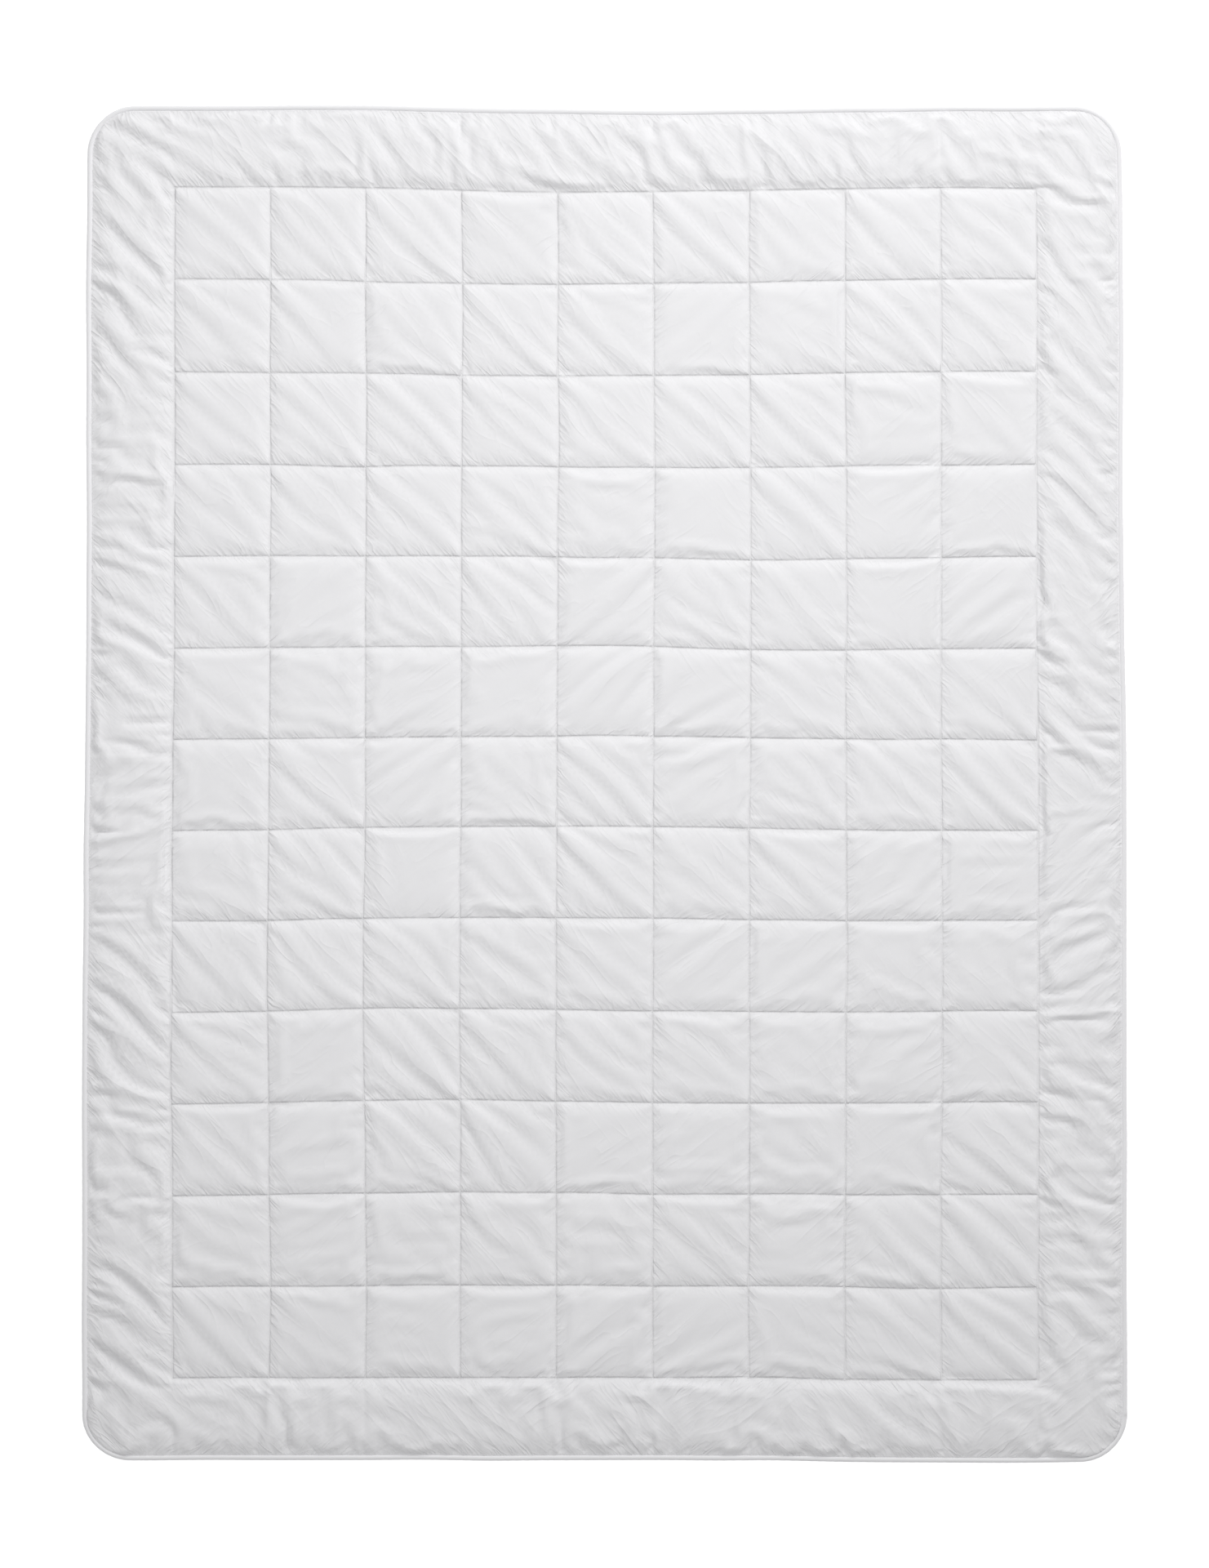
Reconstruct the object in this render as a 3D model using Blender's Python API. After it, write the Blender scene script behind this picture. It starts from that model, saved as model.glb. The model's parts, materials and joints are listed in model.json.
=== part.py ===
"""A quilted duvet, lying flat: two cloths with a batt of wadding between them, sewn through in squares.

Run it with: blender --background --python part.py
Units are metres. +Y is the head end, +Z is up, and the origin is on the floor under the middle.
The duvet folds back along one row of quilting near its head end, so each piece that crosses that row
is modelled as two solids: "main" is the part that stays down, and "turnback" is the part that folds.
"""

import math

import bmesh
import bpy
from mathutils import Matrix, Vector

MM = 0.001

# Overall size, to the outside of the piping.
WIDTH = 1.540
LENGTH = 2.000
CORNER_RADIUS = 0.070

# The quilting: a field of squares with a plain band round it.
COLUMNS = 9
ROWS = 13
COLUMN_PITCH = 0.142
ROW_PITCH = 0.135
SHOULDER = 0.030  # how far a square takes to rise from its stitching to its full height
ARC_STEPS = 4  # straight pieces in each round corner

# The layers, from the floor up. A sewn line pulls all of them together.
CLOTH = 0.6 * MM
GAP = 0.3 * MM  # clearance between two pieces that touch on the real duvet
MERGE_DISTANCE = GAP / 10  # points closer than this are one point
PUFF_TOP = 17 * MM  # top of a square
CREST_TOP = 20 * MM  # top of the plain band
SEAM_TOP = 10.2 * MM  # top of the cloth under a quilting line
SEAM_UNDER = 6 * MM  # underside of the cloth at a quilting line

# The piped edge: a cord in a folded strip of cloth, whose tail is sewn between the two cloths.
CORD_RADIUS = 3.2 * MM
CORD_SIDES = 8
PIPING_RADIUS = CORD_RADIUS + GAP + CLOTH
PIPING_HEIGHT = 8 * MM  # height of the cord's centre
TAIL_LENGTH = 10 * MM
TAIL_CLEARANCE = 2 * MM  # from the end of the tail to the wadding
SEAM_FROM_PIPING = 2 * MM  # from the piping to the seam that holds it
PROFILE_STEPS = 8  # straight pieces round the outside of the piping

# Threads. The rows were sewn last, so each one rises over every column thread that it crosses.
THREAD_RADIUS = 0.45 * MM
THREAD_SIDES = 4
THREAD_RISE = 2 * THREAD_RADIUS + 2 * GAP
THREAD_RAMP = 3 * MM  # length of the slope on each side of a crossing
THREAD_OVERHANG = 0.6 * MM  # how far a line of sewing runs past the corner of the field

# The fold: its axis lies just past the third row of quilting from the head end, clear of the squares.
FOLD_ROW = 2  # squares between the fold and the plain band
FOLD_OFFSET = 1.5 * MM  # from the quilting line to the cut between the two bodies
FOLD_CUT = 0.4 * MM  # width of that cut
FOLD_HEIGHT = CREST_TOP + 4 * MM  # height of the axis, which leaves 8 mm between the folded layers

# The care label, sewn into the edge and folded under the duvet.
LABEL_WIDTH = 0.040
LABEL_LENGTH = 0.028
LABEL_THICKNESS = 0.4 * MM
LABEL_FROM_FOOT = 0.30  # along the side, from the foot end to the label's middle

# Places that follow from the sizes above.
FIELD_HALF_WIDTH = COLUMNS * COLUMN_PITCH / 2
FIELD_HALF_LENGTH = ROWS * ROW_PITCH / 2
FOLD_Y = FIELD_HALF_LENGTH - FOLD_ROW * ROW_PITCH + FOLD_OFFSET
FOLD_AXIS = Vector((0, FOLD_Y, FOLD_HEIGHT))  # a point on the axis, which runs along X
CREST_INSET = (WIDTH / 2 - FIELD_HALF_WIDTH) / 2
CLOTH_INSET = 2 * PIPING_RADIUS + GAP  # where the cloths stop, against the piping
WADDING_INSET = CLOTH_INSET + TAIL_LENGTH + TAIL_CLEARANCE
SEAM_INSET = CLOTH_INSET + SEAM_FROM_PIPING
TAIL_TOP = PIPING_HEIGHT + GAP / 2 + CLOTH
TAIL_UNDER = PIPING_HEIGHT - GAP / 2 - CLOTH
THREAD_HEIGHT = SEAM_TOP + THREAD_RADIUS + GAP

WHITE = (0.86, 0.87, 0.88)
WADDING_WHITE = (0.92, 0.92, 0.90)
THREAD_WHITE = (0.90, 0.90, 0.90)


def clear_scene():
    """Removes what Blender starts with."""
    for obj in list(bpy.data.objects):
        bpy.data.objects.remove(obj)


def material(name, colour, roughness):
    """A plain matt material."""
    made = bpy.data.materials.new(name)
    made.use_nodes = True
    shader = made.node_tree.nodes["Principled BSDF"]
    shader.inputs["Base Color"].default_value = (*colour, 1)
    shader.inputs["Roughness"].default_value = roughness
    return made


def add_hinge():
    """An empty on the fold's axis, which carries the pieces that fold back."""
    hinge = bpy.data.objects.new("turn_back_axis", None)
    hinge.location = FOLD_AXIS
    bpy.context.scene.collection.objects.link(hinge)
    return hinge


def add_object(name, bm, finish, hinge=None):
    """Turns a bmesh into a named object of one material, carried by the hinge if it folds back."""
    mesh = bpy.data.meshes.new(name)
    bm.to_mesh(mesh)
    bm.free()
    mesh.materials.append(finish)
    obj = bpy.data.objects.new(name, mesh)
    bpy.context.scene.collection.objects.link(obj)
    if hinge:
        obj.parent = hinge
        obj.matrix_parent_inverse = Matrix.Translation(-FOLD_AXIS)


# ---------------------------------------------------------------- outlines


def corner_arc(centre, radius, start_angle):
    """Points on a quarter circle, running anticlockwise from start_angle."""
    step = math.pi / 2 / ARC_STEPS
    return [
        centre
        + radius * Vector((math.cos(start_angle + i * step), math.sin(start_angle + i * step)))
        for i in range(ARC_STEPS + 1)
    ]


def outline(inset):
    """The four corner arcs of the duvet's outline, drawn in by inset."""
    radius = max(CORNER_RADIUS - inset, 0)
    x = WIDTH / 2 - inset - radius
    y = LENGTH / 2 - inset - radius
    corners = [(x, y), (-x, y), (-x, -y), (x, -y)]
    return [corner_arc(Vector(c), radius, i * math.pi / 2) for i, c in enumerate(corners)]


def grid_lines(count, pitch):
    """Where the quilting lines of one direction lie, from low to high."""
    return [(i - count / 2) * pitch for i in range(count + 1)]


def band_loop(corners):
    """A loop round the band: every quilting line's end on each straight side, and each corner."""
    xs = grid_lines(COLUMNS, COLUMN_PITCH)
    ys = grid_lines(ROWS, ROW_PITCH)
    right, top = corners[0][0].x, corners[0][-1].y
    sides = [
        [Vector((right, y)) for y in ys],
        [Vector((x, top)) for x in reversed(xs)],
        [Vector((-right, y)) for y in reversed(ys)],
        [Vector((x, -top)) for x in xs],
    ]
    return [point for side, corner in zip(sides, corners) for point in side + corner]


def field_corners():
    """The field's sharp corners, each repeated so that its loop matches the round ones."""
    x, y = FIELD_HALF_WIDTH, FIELD_HALF_LENGTH
    corners = [(x, y), (-x, y), (-x, -y), (x, -y)]
    return [[Vector(c)] * (ARC_STEPS + 1) for c in corners]


# ---------------------------------------------------------------- quilted layers


def add_loop(bm, points, height):
    return [bm.verts.new((*point, height)) for point in points]


def bridge(bm, inner, outer):
    """Quads between two loops with the same number of points."""
    count = len(inner)
    for i in range(count):
        j = (i + 1) % count
        bm.faces.new((inner[i], outer[i], outer[j], inner[j]))


def quilted_surface(bm, seam, puff, crest, edge, edge_inset):
    """One surface of a layer, as heights: at the sewn lines, on the squares, on the band and at the edge.

    It returns the vertices of the outer edge.
    """
    xs = grid_lines(COLUMNS, COLUMN_PITCH)
    ys = grid_lines(ROWS, ROW_PITCH)
    grid = [[bm.verts.new((x, y, seam)) for x in xs] for y in ys]
    squares = [
        bm.faces.new((grid[r][c], grid[r][c + 1], grid[r + 1][c + 1], grid[r + 1][c]))
        for r in range(ROWS)
        for c in range(COLUMNS)
    ]
    bm.normal_update()
    bmesh.ops.inset_individual(bm, faces=squares, thickness=SHOULDER, depth=0)
    for square in squares:
        for vert in square.verts:
            vert.co.z = puff
    field = add_loop(bm, band_loop(field_corners()), seam)
    middle = add_loop(bm, band_loop(outline(CREST_INSET)), crest)
    rim = add_loop(bm, band_loop(outline(edge_inset)), edge)
    bridge(bm, field, middle)
    bridge(bm, middle, rim)
    return rim


def quilted_layer(upper, under, edge_inset):
    """A closed solid between two quilted surfaces, each given as (seam, puff, crest, edge) heights."""
    bm = bmesh.new()
    upper_rim = quilted_surface(bm, *upper, edge_inset)
    under_rim = quilted_surface(bm, *under, edge_inset)
    bridge(bm, under_rim, upper_rim)
    bmesh.ops.remove_doubles(bm, verts=bm.verts, dist=MERGE_DISTANCE)
    bmesh.ops.dissolve_degenerate(bm, edges=bm.edges, dist=MERGE_DISTANCE)
    bmesh.ops.recalc_face_normals(bm, faces=bm.faces)
    return bm


def sloped(crest, edge, inset):
    """The height at that inset of a straight slope from the band's crest to the cloth's edge."""
    share = (CREST_INSET - inset) / (CREST_INSET - CLOTH_INSET)
    return crest + share * (edge - crest)


def lowered(heights, drop):
    return tuple(height - drop for height in heights)


def cut_at_fold(bm, keep_head):
    """Cuts a closed solid at the fold, keeps one side and closes the cut."""
    side = 1 if keep_head else -1
    cut = bmesh.ops.bisect_plane(
        bm,
        geom=bm.verts[:] + bm.edges[:] + bm.faces[:],
        plane_co=(0, FOLD_Y + side * FOLD_CUT / 2, 0),
        plane_no=(0, -side, 0),
        clear_outer=True,
    )
    edges = [item for item in cut["geom_cut"] if isinstance(item, bmesh.types.BMEdge)]
    bmesh.ops.edgenet_fill(bm, edges=edges)
    bmesh.ops.recalc_face_normals(bm, faces=bm.faces)
    return bm


def add_folding_layer(name, upper, under, edge_inset, finish, hinge):
    """A layer as its two solids, one on each side of the fold."""
    main_part = cut_at_fold(quilted_layer(upper, under, edge_inset), keep_head=False)
    add_object(f"{name}_main", main_part, finish)
    head_part = cut_at_fold(quilted_layer(upper, under, edge_inset), keep_head=True)
    add_object(f"{name}_turnback", head_part, finish, hinge)


def add_layers(cloth, wadding, hinge):
    """Face cloth, wadding and back cloth, from the top down."""
    face_edge = TAIL_TOP + GAP + CLOTH
    face = (SEAM_TOP, PUFF_TOP, CREST_TOP, face_edge)
    add_folding_layer("face_cloth", face, lowered(face, CLOTH), CLOTH_INSET, cloth, hinge)

    back_edge = TAIL_UNDER - GAP - CLOTH
    back = (SEAM_UNDER, 0, 0, back_edge)
    add_folding_layer("back_cloth", lowered(back, -CLOTH), back, CLOTH_INSET, cloth, hinge)

    batt_top = lowered((SEAM_TOP, PUFF_TOP, CREST_TOP), CLOTH + GAP)
    batt_under = lowered((SEAM_UNDER, 0, 0), -CLOTH - GAP)
    top_edge = sloped(CREST_TOP, face_edge, WADDING_INSET) - CLOTH - GAP
    under_edge = sloped(0, back_edge, WADDING_INSET) + CLOTH + GAP
    upper, under = (*batt_top, top_edge), (*batt_under, under_edge)
    add_folding_layer("wadding", upper, under, WADDING_INSET, wadding, hinge)


# ---------------------------------------------------------------- edge


def edge_path(inset, is_head):
    """The line round one body's edge at that inset, from its right end at the fold to its left end."""
    side = 1 if is_head else -1
    right_top, left_top, left_foot, right_foot = outline(inset)
    start = Vector((WIDTH / 2 - inset, FOLD_Y + side * FOLD_CUT / 2))
    end = Vector((-start.x, start.y))
    if is_head:
        return [start, *right_top, *left_top, end]
    return [start, *reversed(right_foot), *reversed(left_foot), end]


def close_tube(bm, rings):
    """Joins rings of vertices in their order and caps the two ends."""
    for ring, following in zip(rings, rings[1:]):
        bridge(bm, ring, following)
    bm.faces.new(rings[0])
    bm.faces.new(rings[-1])
    bmesh.ops.recalc_face_normals(bm, faces=bm.faces)
    return bm


def sweep(profile, path):
    """Carries a closed profile along a flat path with mitred bends, and closes both ends.

    Profile points are (distance out from the path's left, height).
    """
    bm = bmesh.new()
    rings = []
    for i, point in enumerate(path):
        before = (point - path[i - 1]).normalized() if i else None
        after = (path[i + 1] - point).normalized() if i + 1 < len(path) else None
        along = ((before or after) + (after or before)).normalized()
        stretch = 1 / along.dot(before or after)
        across = Vector((along.y, -along.x)) * stretch
        rings.append([bm.verts.new((*(point + across * u), height)) for u, height in profile])
    return close_tube(bm, rings)


def circle_profile(radius, sides, height):
    """A regular polygon round the path."""
    angles = [2 * math.pi * (i + 0.5) / sides for i in range(sides)]
    return [(radius * math.cos(a), height + radius * math.sin(a)) for a in angles]


def strip_profile(outward):
    """A strip of cloth folded round the cord, with its two tails side by side on the inner side.

    outward is 1 where the outside of the duvet is on the path's right, and -1 on its left.
    """

    def arc(radius, from_height):
        """Points from the upper tail round the outside of the cord to the lower tail."""
        opening = math.pi - math.asin(from_height / radius)
        steps = PROFILE_STEPS
        angles = [opening - 2 * opening * i / steps for i in range(steps + 1)]
        return [(radius * math.cos(a), radius * math.sin(a)) for a in angles]

    outer = arc(PIPING_RADIUS, GAP / 2 + CLOTH)
    inner = arc(PIPING_RADIUS - CLOTH, GAP / 2)
    tail_end = -PIPING_RADIUS - TAIL_LENGTH
    points = [(tail_end, GAP / 2 + CLOTH), *outer, (tail_end, -GAP / 2 - CLOTH)]
    points += [(tail_end, -GAP / 2), *reversed(inner), (tail_end, GAP / 2)]
    return [(outward * u, PIPING_HEIGHT + height) for u, height in points]


def add_edge(cloth, cord, thread, hinge):
    """Piping cord, its cover and the seam beside it, on both bodies."""
    seam_height = sloped(CREST_TOP, TAIL_TOP + GAP + CLOTH, SEAM_INSET) + THREAD_RADIUS + GAP
    for part, carrier in (("main", None), ("turnback", hinge)):
        is_head = part == "turnback"
        # The head's path runs anticlockwise, with the outside on its right.
        outward = 1 if is_head else -1
        middle = edge_path(PIPING_RADIUS, is_head)
        core = circle_profile(CORD_RADIUS, CORD_SIDES, PIPING_HEIGHT)
        add_object(f"piping_cord_{part}", sweep(core, middle), cord, carrier)
        add_object(f"piping_cover_{part}", sweep(strip_profile(outward), middle), cloth, carrier)
        seam = circle_profile(THREAD_RADIUS, THREAD_SIDES, seam_height)
        path = edge_path(SEAM_INSET, is_head)
        add_object(f"edge_seam_thread_{part}", sweep(seam, path), thread, carrier)


# ---------------------------------------------------------------- quilting threads


def column_thread(start_y, end_y, x):
    """A straight line of sewing along Y."""
    profile = circle_profile(THREAD_RADIUS, THREAD_SIDES, THREAD_HEIGHT)
    return sweep(profile, [Vector((x, start_y)), Vector((x, end_y))])


def row_thread(y):
    """A line of sewing along X, which rises over each column thread."""
    points = []
    for x in grid_lines(COLUMNS, COLUMN_PITCH):
        points += [(x - THREAD_RAMP, 0), (x, THREAD_RISE), (x + THREAD_RAMP, 0)]
    # The outer columns lie at its ends, so it starts and stops on top of them.
    end = FIELD_HALF_WIDTH + THREAD_OVERHANG
    points = [(-end, THREAD_RISE), *points[2:-2], (end, THREAD_RISE)]
    profile = circle_profile(THREAD_RADIUS, THREAD_SIDES, THREAD_HEIGHT)
    bm = bmesh.new()
    rings = [[bm.verts.new((x, y + u, v + rise)) for u, v in profile] for x, rise in points]
    return close_tube(bm, rings)


def add_quilting_threads(finish, hinge):
    """One thread for each row, and two for each column, because the columns cross the fold."""
    end = FIELD_HALF_LENGTH + THREAD_OVERHANG
    for i, x in enumerate(grid_lines(COLUMNS, COLUMN_PITCH), start=1):
        main_part = column_thread(-end, FOLD_Y - FOLD_CUT / 2, x)
        add_object(f"column_thread_{i:02d}_main", main_part, finish)
        head_part = column_thread(FOLD_Y + FOLD_CUT / 2, end, x)
        add_object(f"column_thread_{i:02d}_turnback", head_part, finish, hinge)
    for i, y in enumerate(reversed(grid_lines(ROWS, ROW_PITCH)), start=1):
        carrier = hinge if y > FOLD_Y else None
        add_object(f"row_thread_{i:02d}", row_thread(y), finish, carrier)


# ---------------------------------------------------------------- care label


def add_care_label(finish):
    """A blank tab that hangs from the edge seam and lies under the sloping back cloth."""
    back_edge = TAIL_UNDER - GAP - CLOTH
    outer, inner = CLOTH_INSET, CLOTH_INSET + LABEL_LENGTH
    y = LABEL_FROM_FOOT - LENGTH / 2
    bm = bmesh.new()
    ends = []
    for across in (y - LABEL_WIDTH / 2, y + LABEL_WIDTH / 2):
        top = [(inset, sloped(0, back_edge, inset) - GAP) for inset in (outer, inner)]
        under = [(inset, height - LABEL_THICKNESS) for inset, height in reversed(top)]
        section = top + under
        ends.append([bm.verts.new((inset - WIDTH / 2, across, z)) for inset, z in section])
    add_object("care_label", close_tube(bm, ends), finish)


def main():
    clear_scene()
    cloth = material("shell_cloth", WHITE, 0.85)
    thread = material("sewing_thread", THREAD_WHITE, 0.6)
    hinge = add_hinge()
    add_layers(cloth, material("wadding", WADDING_WHITE, 1.0), hinge)
    add_edge(cloth, material("piping_cord", WADDING_WHITE, 0.9), thread, hinge)
    add_quilting_threads(thread, hinge)
    add_care_label(material("label_ribbon", WHITE, 0.5))


main()
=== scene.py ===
# %% [markdown]
# # A quilted duvet, lying flat
#
# A duvet is two cloths with a batt of wadding between them. Lines of sewing go through all three and
# divide it into squares, a plain band runs round the squares, and a piped edge closes it. Each cell
# below makes one of those pieces as the real one is made, and says why it is made that way.
#
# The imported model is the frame. It says where every line of sewing lies, how high each layer is and
# about which line the head end turns back, so this script takes its places from it.

# %% The frame
import json

import bpy
import numpy as np
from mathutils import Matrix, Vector


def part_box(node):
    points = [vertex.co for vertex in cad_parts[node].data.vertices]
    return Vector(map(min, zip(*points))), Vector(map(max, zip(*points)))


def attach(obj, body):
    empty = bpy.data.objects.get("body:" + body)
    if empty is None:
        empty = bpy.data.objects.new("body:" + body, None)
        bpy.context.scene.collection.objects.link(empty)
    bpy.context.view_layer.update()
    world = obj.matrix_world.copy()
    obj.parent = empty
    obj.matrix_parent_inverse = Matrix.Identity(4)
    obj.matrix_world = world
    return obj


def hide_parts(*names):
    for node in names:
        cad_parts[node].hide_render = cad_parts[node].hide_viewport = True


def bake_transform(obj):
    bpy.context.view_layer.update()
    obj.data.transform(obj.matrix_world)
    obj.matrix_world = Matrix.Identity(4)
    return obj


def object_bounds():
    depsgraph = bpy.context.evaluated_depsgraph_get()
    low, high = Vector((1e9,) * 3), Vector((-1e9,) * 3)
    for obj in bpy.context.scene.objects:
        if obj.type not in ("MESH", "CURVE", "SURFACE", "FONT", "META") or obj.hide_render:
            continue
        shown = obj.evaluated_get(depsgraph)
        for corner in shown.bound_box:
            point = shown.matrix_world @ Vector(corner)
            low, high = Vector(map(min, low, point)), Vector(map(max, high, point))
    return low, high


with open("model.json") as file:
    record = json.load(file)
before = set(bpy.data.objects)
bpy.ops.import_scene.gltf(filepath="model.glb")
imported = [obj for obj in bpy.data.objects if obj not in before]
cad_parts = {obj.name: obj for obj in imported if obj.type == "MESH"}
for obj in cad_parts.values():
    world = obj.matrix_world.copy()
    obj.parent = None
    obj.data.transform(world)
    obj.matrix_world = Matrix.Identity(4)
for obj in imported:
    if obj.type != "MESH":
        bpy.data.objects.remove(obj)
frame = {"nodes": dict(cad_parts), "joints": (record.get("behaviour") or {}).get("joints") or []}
cad_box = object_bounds()
MM = 0.001
print("CAD box", [[round(c, 4) for c in corner] for corner in cad_box])

# %% [markdown]
# ## Where the sewing lies
#
# The threads in the frame are straight bars, one for each line of sewing. The middles of their boxes
# give the quilting grid, so nothing here repeats a pitch or a count.

# %% The quilting grid
COLUMN_COUNT = sum(name.startswith("column_thread") for name in frame["nodes"]) // 2
ROW_COUNT = sum(name.startswith("row_thread") for name in frame["nodes"])


def middle_of(node):
    """The middle of a node's box."""
    low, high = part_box(node)
    return (low + high) / 2


column_xs = [middle_of(f"column_thread_{i:02d}_main").x for i in range(1, COLUMN_COUNT + 1)]
row_ys = sorted(middle_of(f"row_thread_{i:02d}").y for i in range(1, ROW_COUNT + 1))
FIELD = np.array([column_xs[-1], row_ys[-1]])
FOLD = Vector(frame["joints"][0]["pos_m"])
print(f"{len(column_xs) - 1} by {len(row_ys) - 1} squares in {2 * FIELD[0]:.3f} by {2 * FIELD[1]:.3f} m")

# %% [markdown]
# ## The outline
#
# The cloth is cut with round corners. A plain grid of quads is easiest to sew, fold and simulate, so
# the whole cloth stays one rectangular grid, and only its corners are drawn in. In the square block
# of a corner, a point at shares s and t of the radius goes to s * sqrt(1 - t * t / 2) and
# t * sqrt(1 - s * s / 2). That turns the block into a quarter of a disc and leaves its inner sides
# where they were.
#
# No hand-laid duvet is quite square, so the plan then drifts by a few millimetres: it is a little
# wider at the foot, and long soft waves run through it. Every piece goes through the same drift.

# %% Outline and drift
OUTER_HALF = np.array([cad_box[1][0], cad_box[1][1]])
CORNER_RADIUS = 70 * MM
PIPING_RADIUS = (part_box("piping_cover_main")[1].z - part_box("piping_cover_main")[0].z) / 2
PIPING_HEIGHT = middle_of("piping_cover_main").z
EDGE_OVERLAP = 0.6 * MM  # how far the cloths' edges run into the piping
EDGE_INSET = 2 * PIPING_RADIUS - EDGE_OVERLAP
TAPER = 0.0065  # half the growth of the width from the head end to the foot
WAVES_X = ((2.2 * MM, 0.42), (0.7 * MM, 0.11))  # height and length of each wave of the sides
WAVES_Y = ((2.2 * MM, 0.45), (0.8 * MM, 0.12))
LATTICE = 160
SEED = 11


def soft_noise(x, y, size, seed):
    """Smooth random values of about 1 over the plan, made of lumps of the given size.

    A lattice of random numbers is blended between its points with 3t^2 - 2t^3. The lattice is
    turned by an angle of its own, so that its rows never line up with the threads of the cloth.
    """
    random = np.random.default_rng(seed)
    lattice = random.standard_normal((LATTICE, LATTICE))
    angle = random.uniform(0.35, 1.2)
    u = (x * np.cos(angle) + y * np.sin(angle)) / size
    v = (y * np.cos(angle) - x * np.sin(angle)) / size
    i, j = np.floor(u).astype(int), np.floor(v).astype(int)
    s, t = u - i, v - j
    s, t = s * s * (3 - 2 * s), t * t * (3 - 2 * t)
    left, right, under, over = i % LATTICE, (i + 1) % LATTICE, j % LATTICE, (j + 1) % LATTICE
    low = lattice[under, left] * (1 - s) + lattice[under, right] * s
    high = lattice[over, left] * (1 - s) + lattice[over, right] * s
    return low * (1 - t) + high * t


def round_corners(x, y, inset):
    """Draws the corners of a rectangular grid in to the round outline, as the text above says."""
    radius = CORNER_RADIUS - inset
    start = OUTER_HALF - inset - radius
    s = np.clip((np.abs(x) - start[0]) / radius, 0, 1)
    t = np.clip((np.abs(y) - start[1]) / radius, 0, 1)
    in_corner = (s > 0) & (t > 0)
    new_x = np.sign(x) * (start[0] + radius * s * np.sqrt(1 - t * t / 2))
    new_y = np.sign(y) * (start[1] + radius * t * np.sqrt(1 - s * s / 2))
    return np.where(in_corner, new_x, x), np.where(in_corner, new_y, y)


def drift(x, y):
    """Moves points of the plan by the small errors of a hand-laid duvet."""
    wave_x = sum(height * soft_noise(x, y, size, SEED + i) for i, (height, size) in enumerate(WAVES_X))
    wave_y = sum(height * soft_noise(x, y, size, SEED + 2 + i) for i, (height, size) in enumerate(WAVES_Y))
    return x * (1 - TAPER * y / OUTER_HALF[1]) + wave_x, y + wave_y


def edge_distance(x, y, inset):
    """How far inside the round outline a point lies."""
    radius = CORNER_RADIUS - inset
    dx = np.abs(x) - (OUTER_HALF[0] - inset - radius)
    dy = np.abs(y) - (OUTER_HALF[1] - inset - radius)
    outside = np.hypot(np.maximum(dx, 0), np.maximum(dy, 0))
    return np.maximum(radius - outside - np.minimum(np.maximum(dx, dy), 0), 0)


# %% [markdown]
# ## The plan grid
#
# A line of the grid lies on every line of sewing, so that the cloth can be held exactly there. The
# cloth is solved three times, each time with twice as many quads: the coarse grid finds the broad
# folds in few steps, and the finer ones only add the puckers. These grids are even, because cloth
# with unevenly spaced threads would fold where they stand close. The mesh that is made afterwards
# does have its lines closer together near the sewing, where the cloth turns sharply.

# %% Grid lines
SOLVER_QUADS = (9, 10)  # across the plain band and across one square, on the coarsest grid
FACE_QUADS = (22, 24)  # the same for the mesh of the face cloth
BACK_QUADS = (14, 16)  # along x only, as plan_axes says
CROWDING = 0.55  # 0 spaces the lines evenly, and nearly 1 puts them all at the sewing


def spread(start, end, count, crowding):
    """Values from start up to end that stand closer at both: t - c * sin(2 pi t) / (2 pi)."""
    t = np.arange(count) / count
    return start + (end - start) * (t - crowding * np.sin(2 * np.pi * t) / (2 * np.pi))


def grid_axis(sewing, half, quads, crowding):
    """Positions along one axis from edge to edge, with a line on each line of sewing."""
    band, square = quads
    stops = [-half, *sewing, half]
    counts = [band] + [square] * (len(sewing) - 1) + [band]
    parts = [spread(a, b, n, crowding) for a, b, n in zip(stops, stops[1:], counts)]
    return np.concatenate([*parts, [half]])


def sewn_lines(count, quads):
    """The numbers of the grid lines that lie on the lines of sewing."""
    band, square = quads
    return band + square * np.arange(count)


def plan_axes(quads, crowding=0.0, inset=EDGE_INSET):
    """The positions of the grid's lines along x and along y.

    Every mesh has the face cloth's lines along y, so that all layers bend alike at the fold.
    """
    half = OUTER_HALF - inset
    along_y = FACE_QUADS if crowding else quads
    return [grid_axis(column_xs, half[0], quads, crowding), grid_axis(row_ys, half[1], along_y, crowding)]


def doubled(quads, times):
    """The quads across the band and a square after the grid is made twice as fine some times."""
    return tuple(count * 2**times for count in quads)


grids = {"coarsest solving grid": SOLVER_QUADS, "finest": doubled(SOLVER_QUADS, 2), "mesh": FACE_QUADS}
for title, quads in grids.items():
    print(title, "has", " by ".join(str(len(axis)) for axis in plan_axes(quads)), "lines")

# %% [markdown]
# ## How high the wadding pushes the cloth
#
# The batt is springy. In the middle of a square it is at its full height, and at the sewing it is
# squeezed flat. Across a square of width 1 its height is 1 - |2u - 1|^n, which is flat on top and
# steep at the seams, and the two directions are multiplied. The thread also bites into the cloth,
# which leaves a groove a few millimetres wide: 1 - exp(-(d / width)^2), where d is the distance from
# the sewing. Across the band the same curves run from the outer line of sewing to the piping.

# %% Height of the wadding
SEAM_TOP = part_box("row_thread_01")[0].z - 0.3 * MM  # the threads lie 0.3 mm over the cloth
PUFF_TOP = 16 * MM
CREST_TOP = 18.5 * MM
EDGE_HALF = 1.5 * MM  # half the distance between the two cloths at the piping
EDGE_TOP = PIPING_HEIGHT + EDGE_HALF
EDGE_UNDER = PIPING_HEIGHT - EDGE_HALF
PUFF_POWER = 5.0
BAND_POWER = 3.2
GROOVE_WIDTH = 3.0 * MM
GROOVE_SHARE = 0.26  # how much of the rise from the sewing to the top is the groove's
UNEVEN_FILL = 0.07  # how much fuller one square is than another


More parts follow.
